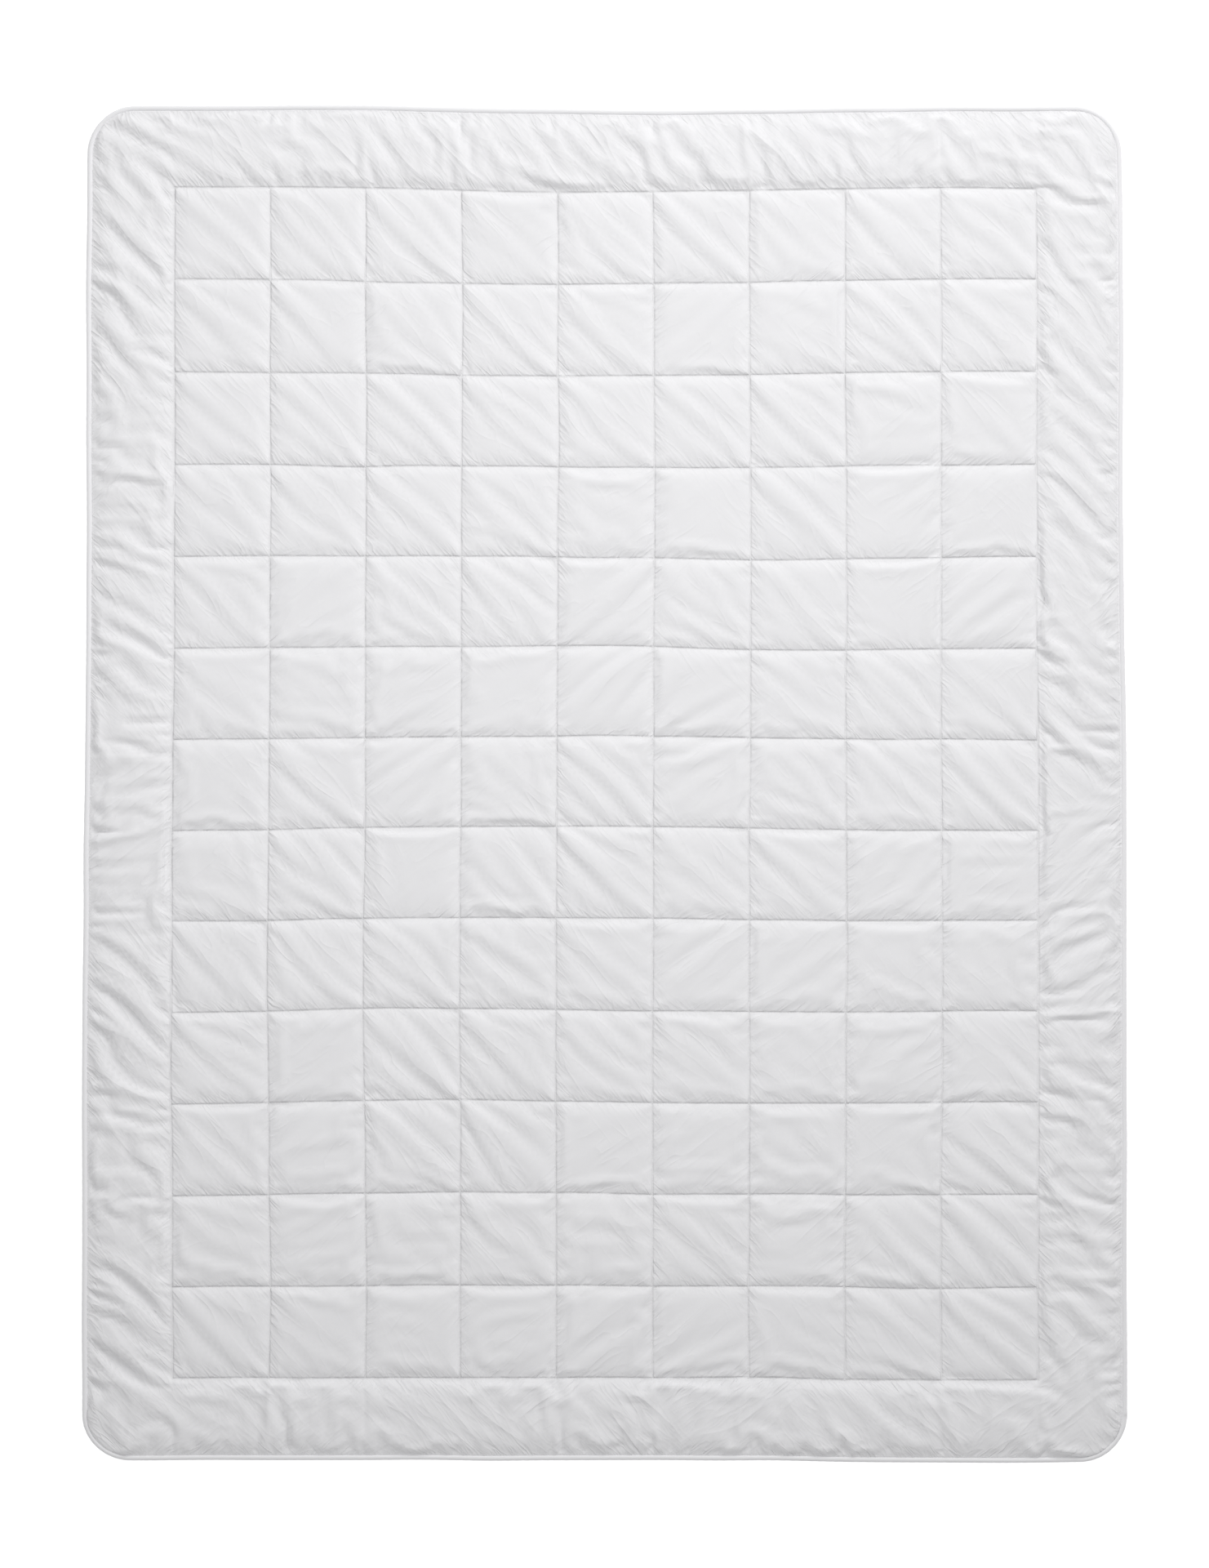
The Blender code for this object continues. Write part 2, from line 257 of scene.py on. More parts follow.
def puff_curve(share, power):
    """1 - |2u - 1|^n: 0 at both seams and 1 in the middle."""
    return 1 - np.abs(2 * np.clip(share, 0, 1) - 1) ** power


def share_across(values, sewing):
    """How far across its square each value lies, from 0 to 1, and the number of that square."""
    index = np.clip(np.searchsorted(sewing, values, side="right") - 1, 0, len(sewing) - 2)
    low, high = np.array(sewing)[index], np.array(sewing)[index + 1]
    return (values - low) / (high - low), index


def in_field(x, y):
    """True for points of the squares, sewing included."""
    return (np.abs(x) <= FIELD[0] + 1e-6) & (np.abs(y) <= FIELD[1] + 1e-6)


def band_share(x, y):
    """How far across the band each point lies: 0 at the sewing and 1 at the piping."""
    out_x, out_y = np.maximum(np.abs(x) - FIELD[0], 0), np.maximum(np.abs(y) - FIELD[1], 0)
    inner = np.hypot(out_x, out_y)
    outer = edge_distance(x, y, EDGE_INSET)
    return inner / np.maximum(inner + outer, 1e-9)


def nearness(distance, reach):
    """1 on a line, fading to 0 beside it: exp(-(d / reach)^2)."""
    return np.exp(-((distance / reach) ** 2))


def groove(distance):
    """0 on the sewing and 1 a few millimetres beside it."""
    return 1 - nearness(distance, GROOVE_WIDTH)


def wadding_height(x, y, seam, puff, crest, edge):
    """Height of the wadding's surface from the heights at its sewing, squares, band and edge."""
    u, column = share_across(x, column_xs)
    v, row = share_across(y, row_ys)
    fullness = 1 + UNEVEN_FILL * np.random.default_rng(SEED).standard_normal((ROW_COUNT, COLUMN_COUNT))
    dome = puff_curve(u, PUFF_POWER) * puff_curve(v, PUFF_POWER) * fullness[row, column]
    pitch_x, pitch_y = column_xs[1] - column_xs[0], row_ys[1] - row_ys[0]
    bite = groove(np.minimum(u, 1 - u) * pitch_x) * groove(np.minimum(v, 1 - v) * pitch_y)
    square = (1 - GROOVE_SHARE) * dome + GROOVE_SHARE * bite
    across = band_share(x, y)
    beside = groove(np.hypot(np.maximum(np.abs(x) - FIELD[0], 0), np.maximum(np.abs(y) - FIELD[1], 0)))
    swell = (1 - GROOVE_SHARE) * puff_curve(across, BAND_POWER) + GROOVE_SHARE * beside * (1 - across**8)
    band = seam + (edge - seam) * across + (crest - seam) * swell
    return np.where(in_field(x, y), seam + (puff - seam) * square, band)


# %% [markdown]
# ## A cloth solver
#
# Cloth over wadding wrinkles because there is more cloth than ground under it. Blender's own cloth
# modifier can show that too, but a pucker takes up only a few millimetres of two metres, which asks
# for a fine mesh. A duvet's cloth is one regular grid, and that makes a simple solver possible: all
# threads of one direction that share no point are one slice of an array, and are pulled to their
# length at once. One step is
#
# 1. every point keeps nine tenths of its last move,
# 2. the wadding pushes it up or down towards its own height, gently, as a spring,
# 3. each thread between two neighbours, straight or diagonal, pulls or pushes both to its length,
# 4. the cloth resists sharp bends: a point moves against the difference between its own bend and
#    the bends around it,
# 5. sewn points go back to where they are sewn.

# %% Solver
KEPT_MOTION = np.float32(0.9)
BEND_RESISTANCE = np.float32(0.012)
DIAGONAL_STIFFNESS = 0.8


def thread_sets(shape):
    """Pairs of slices that hold the two ends of threads which share no point, with a stiffness."""
    rows, columns = shape
    every = slice(None)
    for first in (0, 1):
        odd_columns, next_columns = slice(first, columns - 1, 2), slice(first + 1, columns, 2)
        odd_rows, next_rows = slice(first, rows - 1, 2), slice(first + 1, rows, 2)
        yield (every, odd_columns), (every, next_columns), 1.0
        yield (odd_rows, every), (next_rows, every), 1.0
        yield (odd_rows, slice(0, -1)), (next_rows, slice(1, None)), DIAGONAL_STIFFNESS
        yield (odd_rows, slice(1, None)), (next_rows, slice(0, -1)), DIAGONAL_STIFFNESS


def cut_length(target, slack, a, b):
    """The cut length of each thread from its length over the full wadding.

    slack holds three arrays: the extra length along x, along y, and the skew of the cut.
    """
    dx, dy, dz = (values[b] - values[a] for values in target)
    more_x, more_y, skew = [(s[a] + s[b]) / 2 for s in slack]
    return np.sqrt((dx * (1 + more_x) + dy * skew) ** 2 + (dy * (1 + more_y)) ** 2 + dz * dz)


def neighbour_mean(values):
    """The mean of each inner point's four neighbours, less the point itself."""
    result = np.zeros_like(values)
    sides = values[:, 1:-1, :-2] + values[:, 1:-1, 2:] + values[:, :-2, 1:-1] + values[:, 2:, 1:-1]
    result[:, 1:-1, 1:-1] = sides / 4 - values[:, 1:-1, 1:-1]
    return result


def settle(points, plan, height, slack, sewn, push, steps):
    """Lets a cloth find its rest over the wadding, as the five steps above say."""
    target = np.stack([*plan, height]).astype(np.float32)
    slack = [values.astype(np.float32) for values in slack]
    threads = []
    for a, b, stiffness in thread_sets(height.shape):
        threads.append((a, b, cut_length(target, slack, a, b), np.float32(stiffness / 2)))
    points = points.astype(np.float32)
    before = points.copy()
    for _ in range(steps):
        move = (points - before) * KEPT_MOTION
        before = points.copy()
        points += move
        points[2] += push * (target[2] - points[2])
        for a, b, length, share in threads:
            apart = points[(slice(None), *b)] - points[(slice(None), *a)]
            now = np.sqrt((apart * apart).sum(axis=0))
            apart *= share * (1 - length / now)
            points[(slice(None), *a)] += apart
            points[(slice(None), *b)] -= apart
        points -= BEND_RESISTANCE * neighbour_mean(neighbour_mean(points))
        points[:, sewn] = target[:, sewn]
    return points


def twice_as_fine(values):
    """Doubles a grid: a new point is (9 * (b + c) - (a + d)) / 16 of the four in line with it."""
    for axis in (1, 2):
        values = np.moveaxis(values, axis, -1)
        ends = [2 * values[..., :1] - values[..., 1:2], 2 * values[..., -1:] - values[..., -2:-1]]
        wide = np.concatenate([ends[0], values, ends[1]], axis=-1)
        finer = np.empty((*values.shape[:-1], 2 * values.shape[-1] - 1), values.dtype)
        finer[..., ::2] = values
        finer[..., 1::2] = (9 * (wide[..., 1:-2] + wide[..., 2:-1]) - wide[..., :-3] - wide[..., 3:]) / 16
        values = np.moveaxis(finer, -1, axis)
    return values


# %% [markdown]
# ## How much cloth there is
#
# Each thread is cut to its length over the full wadding and then a few thousandths longer, and a
# hundredth or two more is drawn in along the sewing. The feed of the machine also drags the face
# cloth along against the wadding. That skews each square, and skewed cloth folds along its short
# diagonal. The drag is strongest at the head end's left corner and weakest at the foot's right, where
# the folds run both ways. The band has the most loose cloth, because the piping gathers it on
# one side and the quilting on the other, and its long sides have more than its ends.
#
# The solver's folds are then laid over the wadding again, on the mesh's own grid, with
# their height changed by a factor: RELIEF_FIELD in the squares and RELIEF_BAND in the band. Both are
# given below.

# %% Slack
SLACK_FIELD = 0.003
LOOSE_FOOT = 2.5  # how much more slack the squares have where the drag is weakest
SLACK_ENDS = (0.017, 0.006)  # along x and y in the band's short ends, which are gathered across
SLACK_SIDES = (0.017, 0.022)  # the same in its long sides
DRAG_ENDS = 0.6  # how much of the drag reaches the short ends
DRAG_SIDES = 1.6
STEADY = (0.55, 0.45, -0.15)  # the drag's steadiness in the middle, and its change along y and x
STRAY_DRAG = 1.6  # how far the drag strays where it isn't steady
STRAY_LESS = 0.8  # how much less it strays where it is
STRAY_SIZE = 0.13
UNEVEN_SLACK = 0.9  # how unevenly the slack is spread, in lumps of the next size
SLACK_LUMPS = 0.07
UNEVEN_PUCKERS = 0.6
PUCKER_LUMPS = 0.05
COLUMN_REACH = 0.012  # how far puckers run from a column, which is also how far they run below a row
ROW_REACH = 0.014  # how far they run above a row
COLUMN_FAR_SIDE = 0.4  # how strong they are on the left of a column
ROW_FAR_SIDE = 0.3  # and below a row
EDGE_REACH = 0.16  # how far they run from the piping, as a share of the band
EDGE_FADE = 6 * MM  # the folds die away over this length beside the piping
START_BUMPS = 0.5 * MM  # the cloth starts with bumps this high, since a flat one can't choose a side
START_SIZE = 0.03
SLACK_SEAM = 0.018
SLACK_EDGE = 0.02
RELIEF_FIELD = 1.05
RELIEF_BAND = 1.5


def steady_share(x, y):
    """1 where the drag is steady, at the head end's left, falling to 0 at the foot's right."""
    middle, by_y, by_x = STEADY
    return np.clip(middle + by_y * y / OUTER_HALF[1] + by_x * x / OUTER_HALF[0], 0, 1)


def drag_share(x, y, seed):
    """How hard the feed dragged the cloth: 1 is all of it, and below 0 it went the other way."""
    steady = steady_share(x, y)
    return steady + (STRAY_DRAG - STRAY_LESS * steady) * soft_noise(x, y, STRAY_SIZE, seed + 2)


def cloth_slack(x, y, seed, skew):
    """The extra length along x and y and the skew of the cut, as the text above says."""
    inside = in_field(x, y)
    u, _ = share_across(x, column_xs)
    v, _ = share_across(y, row_ys)
    width, height = column_xs[1] - column_xs[0], row_ys[1] - row_ys[0]
    far_column = COLUMN_FAR_SIDE * nearness((1 - u) * width, COLUMN_REACH)
    far_row = ROW_FAR_SIDE * nearness((1 - v) * height, COLUMN_REACH)
    near_column = (nearness(u * width, COLUMN_REACH) + far_column) * inside
    near_row = (nearness(v * height, ROW_REACH) + far_row) * inside
    across = band_share(x, y)
    near_edge = SLACK_EDGE * nearness(1 - across, EDGE_REACH) * ~inside
    at_side = np.abs(x) > FIELD[0]
    loose = SLACK_FIELD * (1 + LOOSE_FOOT * (1 - steady_share(x, y)))
    in_band = [np.where(at_side, side, end) for side, end in zip(SLACK_SIDES, SLACK_ENDS)]
    base_x, base_y = (np.where(inside, loose, slack) for slack in in_band)
    along_x = base_x * (1 + UNEVEN_SLACK * soft_noise(x, y, SLACK_LUMPS, seed)) + near_edge
    along_y = base_y * (1 + UNEVEN_SLACK * soft_noise(x, y, SLACK_LUMPS, seed + 1)) + near_edge
    uneven = 1 + UNEVEN_PUCKERS * soft_noise(x, y, PUCKER_LUMPS, seed + 5)
    along_x = along_x + SLACK_SEAM * near_row * uneven
    along_y = along_y + SLACK_SEAM * near_column
    drag = skew * drag_share(x, y, seed) * np.where(inside, 1, np.where(at_side, DRAG_SIDES, DRAG_ENDS))
    return along_x, along_y, drag


def sewn_points(shape, quads):
    """True on every line of sewing and round the edge."""
    sewn = np.zeros(shape, bool)
    columns, rows = sewn_lines(COLUMN_COUNT, quads), sewn_lines(ROW_COUNT, quads)
    sewn[rows[0]:rows[-1] + 1, columns] = True
    sewn[rows, columns[0]:columns[-1] + 1] = True
    sewn[[0, -1]] = True
    sewn[:, [0, -1]] = True
    return sewn


def read_between(values, old, new):
    """Reads the last axis of values at new positions, with a cubic through four old ones."""
    index = np.clip(np.searchsorted(old, new, side="right") - 1, 0, len(old) - 2)
    t = (new - old[index]) / (old[index + 1] - old[index])
    a, b, c, d = (values[..., np.clip(index + k, 0, len(old) - 1)] for k in (-1, 0, 1, 2))
    return b + t * ((c - a) / 2 + t * ((2 * a - 5 * b + 4 * c - d) / 2 + t * (3 * (b - c) + d - a) / 2))


def read_grid(values, old, new):
    """Reads a grid (3, rows, columns) with the given axes at the crossings of new axes."""
    values = read_between(values, old[0], new[0])
    return np.swapaxes(read_between(np.swapaxes(values, 1, 2), old[1], new[1]), 1, 2)


def finished(departure, heights, solver_quads, mesh_quads):
    """Lays the solved folds over the wadding on the mesh's own grid, groove included.

    departure is how far each point of the even grid moved from its place over the wadding.
    Returns the points (3, rows, columns) and their places on the flat cloth (2, rows, columns).
    """
    close = plan_axes(mesh_quads, CROWDING)
    departure = read_grid(departure, plan_axes(solver_quads), close)
    flat = np.stack(np.meshgrid(*close))
    departure[2] *= np.where(in_field(*flat), RELIEF_FIELD, RELIEF_BAND)
    rounded = round_corners(*flat, EDGE_INSET)
    departure[2] *= 1 - nearness(edge_distance(*rounded, EDGE_INSET), EDGE_FADE)
    return np.stack([*drift(*rounded), wadding_height(*rounded, *heights)]) + departure, flat


def make_cloth(heights, seed, skew, push, steps, mesh_quads):
    """Solves one cloth on each grid in turn, then returns its mesh's points and flat places."""
    points = None
    for level, count in enumerate(steps):
        quads = doubled(SOLVER_QUADS, level)
        x, y = np.meshgrid(*plan_axes(quads))
        rounded = round_corners(x, y, EDGE_INSET)
        height = wadding_height(*rounded, *heights)
        plan = drift(*rounded)
        sewn = sewn_points(x.shape, quads)
        if points is None:
            bumps = START_BUMPS * soft_noise(x, y, START_SIZE, seed + 4) * ~sewn
            points = np.stack([*plan, height + bumps])
        else:
            points = twice_as_fine(points)
        slack = cloth_slack(x, y, seed, skew)
        points = settle(points, plan, height, slack, sewn, push, count)
    return finished(points - np.stack([*plan, height]), heights, quads, mesh_quads)


FACE_HEIGHTS = (SEAM_TOP, PUFF_TOP, CREST_TOP, EDGE_TOP)
SEAM_PLAY = 0.8 * MM  # how far a fold may bring one cloth towards the other past its sewn height
face, face_flat = make_cloth(
    FACE_HEIGHTS, SEED, skew=0.02, push=0.0015, steps=(400, 400, 80), mesh_quads=FACE_QUADS
)
face[2] = np.maximum(face[2], EDGE_TOP - SEAM_PLAY)
print(f"face cloth from {face[2].min() / MM:.1f} to {face[2].max() / MM:.1f} mm high")

# %% [markdown]
# ## From arrays to meshes
#
# Every piece below is a grid of points, so one function makes all the meshes. A grid can be open like
# a cloth, closed one way like a tube, or closed both ways like the piping, which is a ring. The flat
# place of each point becomes its UV, in metres, so that a weave follows the cloth into its folds.

# %% Grid meshes
def new_object(name, points, faces):
    """A smooth mesh object at the origin from an array of points (n, 3) and one of faces."""
    mesh = bpy.data.meshes.new(name)
    mesh.from_pydata(points, [], faces)
    mesh.shade_smooth()
    obj = bpy.data.objects.new(name, mesh)
    bpy.context.scene.collection.objects.link(obj)
    return obj


def grid_faces(rows, columns, closed=(False, False), flip=False):
    """The quads of a grid of numbered points, which may be closed along either direction."""
    number = np.arange(rows * columns).reshape(rows, columns)
    if closed[0]:
        number = np.vstack([number, number[:1]])
    if closed[1]:
        number = np.hstack([number, number[:, :1]])
    corners = [number[:-1, :-1], number[:-1, 1:], number[1:, 1:], number[1:, :-1]]
    return np.stack(corners[::-1] if flip else corners, axis=-1).reshape(-1, 4)


def add_uv(obj, values):
    """Writes a UV for each corner of each face, given as an array (corners, 2) in metres."""
    layer = obj.data.uv_layers.new(name="cut")
    layer.uv.foreach_set("vector", np.asarray(values, np.float32).ravel())


def uv_of_points(obj, flat):
    """Gives each corner the flat place of its point, from an array (points, 2)."""
    corner_points = np.empty(len(obj.data.loops), np.int32)
    obj.data.loops.foreach_get("vertex_index", corner_points)
    add_uv(obj, flat[corner_points])


def cloth_mesh(name, points, flat, flip=False):
    """A cloth from its points (3, rows, columns) and their flat places (2, rows, columns)."""
    obj = new_object(name, points.reshape(3, -1).T, grid_faces(*points.shape[1:], flip=flip))
    uv_of_points(obj, flat.reshape(2, -1).T)
    return obj


# %% [markdown]
# ## What the cloth's finish must know
#
# A crease stops at the sewing round its square. So the cloths get a second UV, in which each square
# lies somewhere else, and three numbers for each point: how hard the cloth was dragged there, how
# near a seam it is and how deep in the band it lies. The finish reads all of them.

# %% Guides for the creases
PATCH_SHIFT = 20  # metres, so that no two patches share a crease
PUCKER_REACH = 14 * MM
PUCKER_SIDES = (1, 0.3, 1, 0.4)  # how strong puckers are at a square's left, right, foot and head
PUCKER_BAND = 0.3  # how strong they are all over the band
PUCKER_EDGE = 0.15  # how far they run from both sides of the band, as a share of it
BAND_FULL = 5  # makes the band's number 1 over the middle of the band


def add_patches(obj):
    """A second UV in which every square lies somewhere else, so no crease runs on past the sewing."""
    cut = np.empty(2 * len(obj.data.loops), np.float32)
    obj.data.uv_layers["cut"].uv.foreach_get("vector", cut)
    corners = cut.reshape(-1, 4, 2)
    x, y = corners.mean(axis=1).T
    random = np.random.default_rng(SEED + 3)
    shift = random.uniform(-PATCH_SHIFT, PATCH_SHIFT, (ROW_COUNT + 1, COLUMN_COUNT + 1, 2))
    moved = shift[np.searchsorted(row_ys, y), np.searchsorted(column_xs, x)] * in_field(x, y)[:, None]
    layer = obj.data.uv_layers.new(name="square")
    layer.uv.foreach_set("vector", (corners + moved[:, None]).astype(np.float32).ravel())


def add_number(obj, name, values):
    """Writes one number for each point, which a material can read."""
    layer = obj.data.attributes.new(name, "FLOAT", "POINT")
    layer.data.foreach_set("value", values.astype(np.float32).ravel())


def crease_guides(obj, flat, seed):
    """Gives a cloth its patches and its three numbers: drag, pucker and band."""
    add_patches(obj)
    add_number(obj, "drag", drag_share(*flat, seed))
    u, v = share_across(flat[0], column_xs)[0], share_across(flat[1], row_ys)[0]
    pitch_x, pitch_y = column_xs[1] - column_xs[0], row_ys[1] - row_ys[0]
    distances = (u * pitch_x, (1 - u) * pitch_x, v * pitch_y, (1 - v) * pitch_y)
    at_seams = sum(strong * nearness(d, PUCKER_REACH) for strong, d in zip(PUCKER_SIDES, distances))
    across = band_share(*round_corners(*flat, EDGE_INSET))
    in_band = PUCKER_BAND + nearness(across, PUCKER_EDGE) + nearness(1 - across, PUCKER_EDGE)
    inside = in_field(*flat)
    add_number(obj, "pucker", np.clip(np.where(inside, at_seams, in_band), 0, 1))
    add_number(obj, "band", np.clip(across * (1 - across) * BAND_FULL, 0, 1) * ~inside)


# %% [markdown]
# ## Pieces across the fold
#
# The two bodies are rigid, and the real layers are one piece each. So each layer is one mesh, which
# takes the place of the frame's two nodes for it, one on each side of the fold.

# %% Pieces across the fold, and counting
TRIANGLES = {}


def bends(obj, *nodes, slot):
    """Hides the frame's nodes that a piece replaces and bakes its place into its mesh; slot is not used."""
    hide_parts(*nodes)
    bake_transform(obj)


def both(kind):
    """The names of the two nodes that stand for one piece, on either side of the fold."""
    return f"{kind}_main", f"{kind}_turnback"


def count(obj):
    """Prints and remembers how many triangles a piece has."""
    obj.data.calc_loop_triangles()
    TRIANGLES[obj.name] = len(obj.data.loop_triangles)
    print(f"{obj.name}: {TRIANGLES[obj.name]} triangles")
    return obj


face_cloth = count(cloth_mesh("face_cloth", face, face_flat))
bends(face_cloth, *both("face_cloth"), slot="shell_cloth")
crease_guides(face_cloth, face_flat, SEED)

# %% [markdown]
# ## The back cloth
#
# The back is the same cloth under the same sewing, but the floor or the bed presses its squares flat.
# It is solved as the face is, with its squares bulging down, and whatever would go below the floor
# lies on it. It needs fewer quads across, because it is seen only where the head end is turned back.
# Where the care label lies under it, the cloth is lifted to make room.

# %% Back cloth
SEAM_UNDER = 6 * MM
BACK_REST = 0.35 * MM  # height of the cloth where it lies on the floor
BACK_HEIGHTS = (SEAM_UNDER, BACK_REST, BACK_REST, EDGE_UNDER)
BACK_SEED = SEED + 40
LABEL_LIFT = 1.6 * MM
LIFT_MARGIN = 10 * MM
back, back_flat = make_cloth(
    BACK_HEIGHTS, BACK_SEED, skew=0.014, push=0.0015, steps=(250, 250), mesh_quads=BACK_QUADS
)
back[2] = np.clip(back[2], BACK_REST, EDGE_UNDER + SEAM_PLAY)
label_low, label_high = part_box("care_label")
past_x = np.maximum(np.maximum(label_low.x - back_flat[0], back_flat[0] - label_high.x), 0)
past_y = np.maximum(np.maximum(label_low.y - back_flat[1], back_flat[1] - label_high.y), 0)
near_label = np.clip(1.5 - np.hypot(past_x, past_y) / LIFT_MARGIN, 0, 1)
back[2] = np.maximum(back[2], LABEL_LIFT * near_label * near_label * (3 - 2 * near_label))
back_cloth = count(cloth_mesh("back_cloth", back, back_flat, flip=True))
bends(back_cloth, *both("back_cloth"), slot="shell_cloth")
crease_guides(back_cloth, back_flat, BACK_SEED)
print(f"back cloth from {back[2].min() / MM:.2f} to {back[2].max() / MM:.2f} mm high")

# %% [markdown]
# ## The wadding
#
# The batt is one thick blanket of polyester fibre, squeezed thin along the sewing. Both of its sides
# follow the cloths at a small distance. Each side is read from the solved cloth, and the lowest value
# round each point is kept, so that no fold of the cloth dips into the batt between two points.

# %% Wadding
WADDING_QUADS = (8, 12)
WADDING_INSET = OUTER_HALF[0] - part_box("wadding_main")[1].x
CLEAR_AT_SEAM = 0.85 * MM
THINNEST = 0.6 * MM  # the batt under the tightest sewing
WADDING_EDGE = 1.5 * MM  # half the batt's thickness at its cut edge


def lowest_round(values):
    """The lowest of each point and its eight neighbours."""
    wide = np.pad(values, 1, mode="edge")
    rows, columns = values.shape
    return np.min([wide[i:i + rows, j:j + columns] for i in range(3) for j in range(3)], axis=0)


def batt_side(cloth, quads, sign):
    """Height of one side of the batt: the cloth's own height, kept clear of it on the inner side.

    sign is +1 for the face, whose batt lies below it, and -1 for the back.
    """
    own_axes = plan_axes(quads, CROWDING)
    target = plan_axes(WADDING_QUADS, CROWDING, WADDING_INSET)
    inner = lowest_round(sign * cloth[2])[None]
    return sign * (read_grid(inner, own_axes, target)[0] - CLEAR_AT_SEAM)


batt_flat = np.stack(np.meshgrid(*plan_axes(WADDING_QUADS, CROWDING, WADDING_INSET)))
batt_plan = np.stack(drift(*round_corners(*batt_flat, WADDING_INSET)))
batt_top = batt_side(face, FACE_QUADS, 1)
batt_under = batt_side(back, BACK_QUADS, -1)
at_edge = np.ones(batt_top.shape, bool)
at_edge[1:-1, 1:-1] = False
batt_top[at_edge] = np.minimum(batt_top, PIPING_HEIGHT + WADDING_EDGE)[at_edge]
batt_under[at_edge] = np.maximum(batt_under, PIPING_HEIGHT - WADDING_EDGE)[at_edge]
middle, half = (batt_top + batt_under) / 2, np.maximum((batt_top - batt_under) / 2, THINNEST / 2)
batt_top, batt_under = middle + half, middle - half


def slab(name, plan, top, under):
    """A closed slab: a grid on top, the same grid turned over underneath, and a wall between."""
    rows, columns = top.shape
    points = np.concatenate([np.stack([*plan, side]).reshape(3, -1).T for side in (top, under)])
    number = np.arange(rows * columns).reshape(rows, columns)
    rim = np.concatenate([number[0, :-1], number[:-1, -1], number[-1, :0:-1], number[:0:-1, 0]])
    below = rim + rows * columns
    wall = np.stack([rim, below, np.roll(below, -1), np.roll(rim, -1)], axis=-1)
    lower = grid_faces(rows, columns, flip=True) + rows * columns
    return new_object(name, points, np.concatenate([grid_faces(rows, columns), lower, wall]))


wadding = count(slab("wadding", batt_plan, batt_top, batt_under))
bends(wadding, *both("wadding"), slot="wadding")
thickness = (batt_top - batt_under) / MM
print(f"wadding {thickness.min():.2f} to {thickness.max():.2f} mm thick")

# %% [markdown]
# ## The piped edge
#
# Piping is a cord in a strip of cloth cut on the bias, so that it bends round the corners. The strip's
# two tails are sewn between the cloths. Here a profile is carried round the outline: a circle with a
# flat tail towards the inside for the cover, and a circle whose three lumps turn as it goes along for
# the twisted cord in it.

# %% Piping
PIPING_STEP = 4.5 * MM
TAIL_LENGTH = 9 * MM
TAIL_HALF = 0.5 * MM
COVER_SIDES = 14
CORD_SIDES = 12
COVER_CLEAR = 0.1 * MM
COVER_OPENING = 0.28  # the angle on each side of the gap where the strip's tails leave
GATHER_DEPTH = 0.03  # the strip's small gathers, as a share of its radius
GATHER_LENGTH = 0.0021
GATHER_SWAY = 2.2  # how unevenly the gathers follow each other
SWAY_LENGTH = 0.047
CORD_SHARE = 0.66  # the cord's radius as a share of the piping's
CORD_STRANDS = 3
STRAND_DEPTH = 0.08
CORD_TURN = 0.016  # length in which the cord's strands go once round


def outline(inset, step):
    """The round outline at an inset, before drift: points (2, n), outward normals and distance.

    Each side is a straight run and each corner a quarter circle, all with points one step apart.
    """
    radius = CORNER_RADIUS - inset
    run_x, run_y = OUTER_HALF - inset - radius
    points, normals = [], []
    for turn, run in enumerate((run_y, run_x, run_y, run_x)):
        start = turn * np.pi / 2
        out = np.array([np.cos(start), np.sin(start)])
        along = np.array([-out[1], out[0]])
        side = (run_x if turn % 2 == 0 else run_y) + radius
        places = np.arange(-run, run, step)
        points.append(out[:, None] * side + along[:, None] * places)
        normals.append(np.repeat(out[:, None], len(places), axis=1))
        angles = start + np.arange(0, np.pi / 2, step / radius)
        corner = out * (side - radius) + along * run
        direction = np.stack([np.cos(angles), np.sin(angles)])
        points.append(corner[:, None] + radius * direction)
        normals.append(direction)
    points, normals = np.concatenate(points, axis=1), np.concatenate(normals, axis=1)
    steps = np.hypot(*(np.roll(points, -1, axis=1) - points))
    return points, normals, np.concatenate([[0], np.cumsum(steps)[:-1]])


def carried_round(profile_out, profile_up, inset):
    """Carries a profile (n, sides) round the outline: each point moves out along the normal and up."""
    points, normals, _ = outline(inset, PIPING_STEP)
    flat = points[:, :, None] + normals[:, :, None] * profile_out[None]
    return np.stack([*drift(*flat), profile_up])


def ring_mesh(name, points, along):
    """A closed ring from its points (3, n, sides), with UVs along the ring and round the profile."""
    rows, sides = points.shape[1:]
    obj = new_object(name, points.reshape(3, -1).T, grid_faces(rows, sides, (True, True), flip=True))
    around = np.linspace(0, 2 * np.pi * PIPING_RADIUS, sides + 1)
    ends = np.append(along, along[-1] + PIPING_STEP)
    u, v = np.meshgrid(ends, around, indexing="ij")
    number = np.stack([u, v])
    corners = [number[:, :-1, :-1], number[:, :-1, 1:], number[:, 1:, 1:], number[:, 1:, :-1]]
    add_uv(obj, np.stack(corners[::-1], axis=-1).reshape(2, -1).T)
    return obj


_, _, along = outline(PIPING_RADIUS, PIPING_STEP)
sweep = np.linspace(-np.pi + COVER_OPENING, np.pi - COVER_OPENING, COVER_SIDES)[None]
ripple = np.sin(along / GATHER_LENGTH + GATHER_SWAY * np.sin(along / SWAY_LENGTH))[:, None]
gather = 1 + GATHER_DEPTH * ripple * np.cos(sweep / 2) ** 2
cover_radius = (PIPING_RADIUS - COVER_CLEAR) * gather
tail_out = np.repeat([[-PIPING_RADIUS - TAIL_LENGTH, -PIPING_RADIUS - TAIL_LENGTH]], len(along), axis=0)
tail_up = np.repeat([[PIPING_HEIGHT + TAIL_HALF, PIPING_HEIGHT - TAIL_HALF]], len(along), axis=0)
cover_out = np.concatenate([cover_radius * np.cos(sweep), tail_out], axis=1)
cover_up = np.concatenate([PIPING_HEIGHT + cover_radius * np.sin(sweep), tail_up], axis=1)
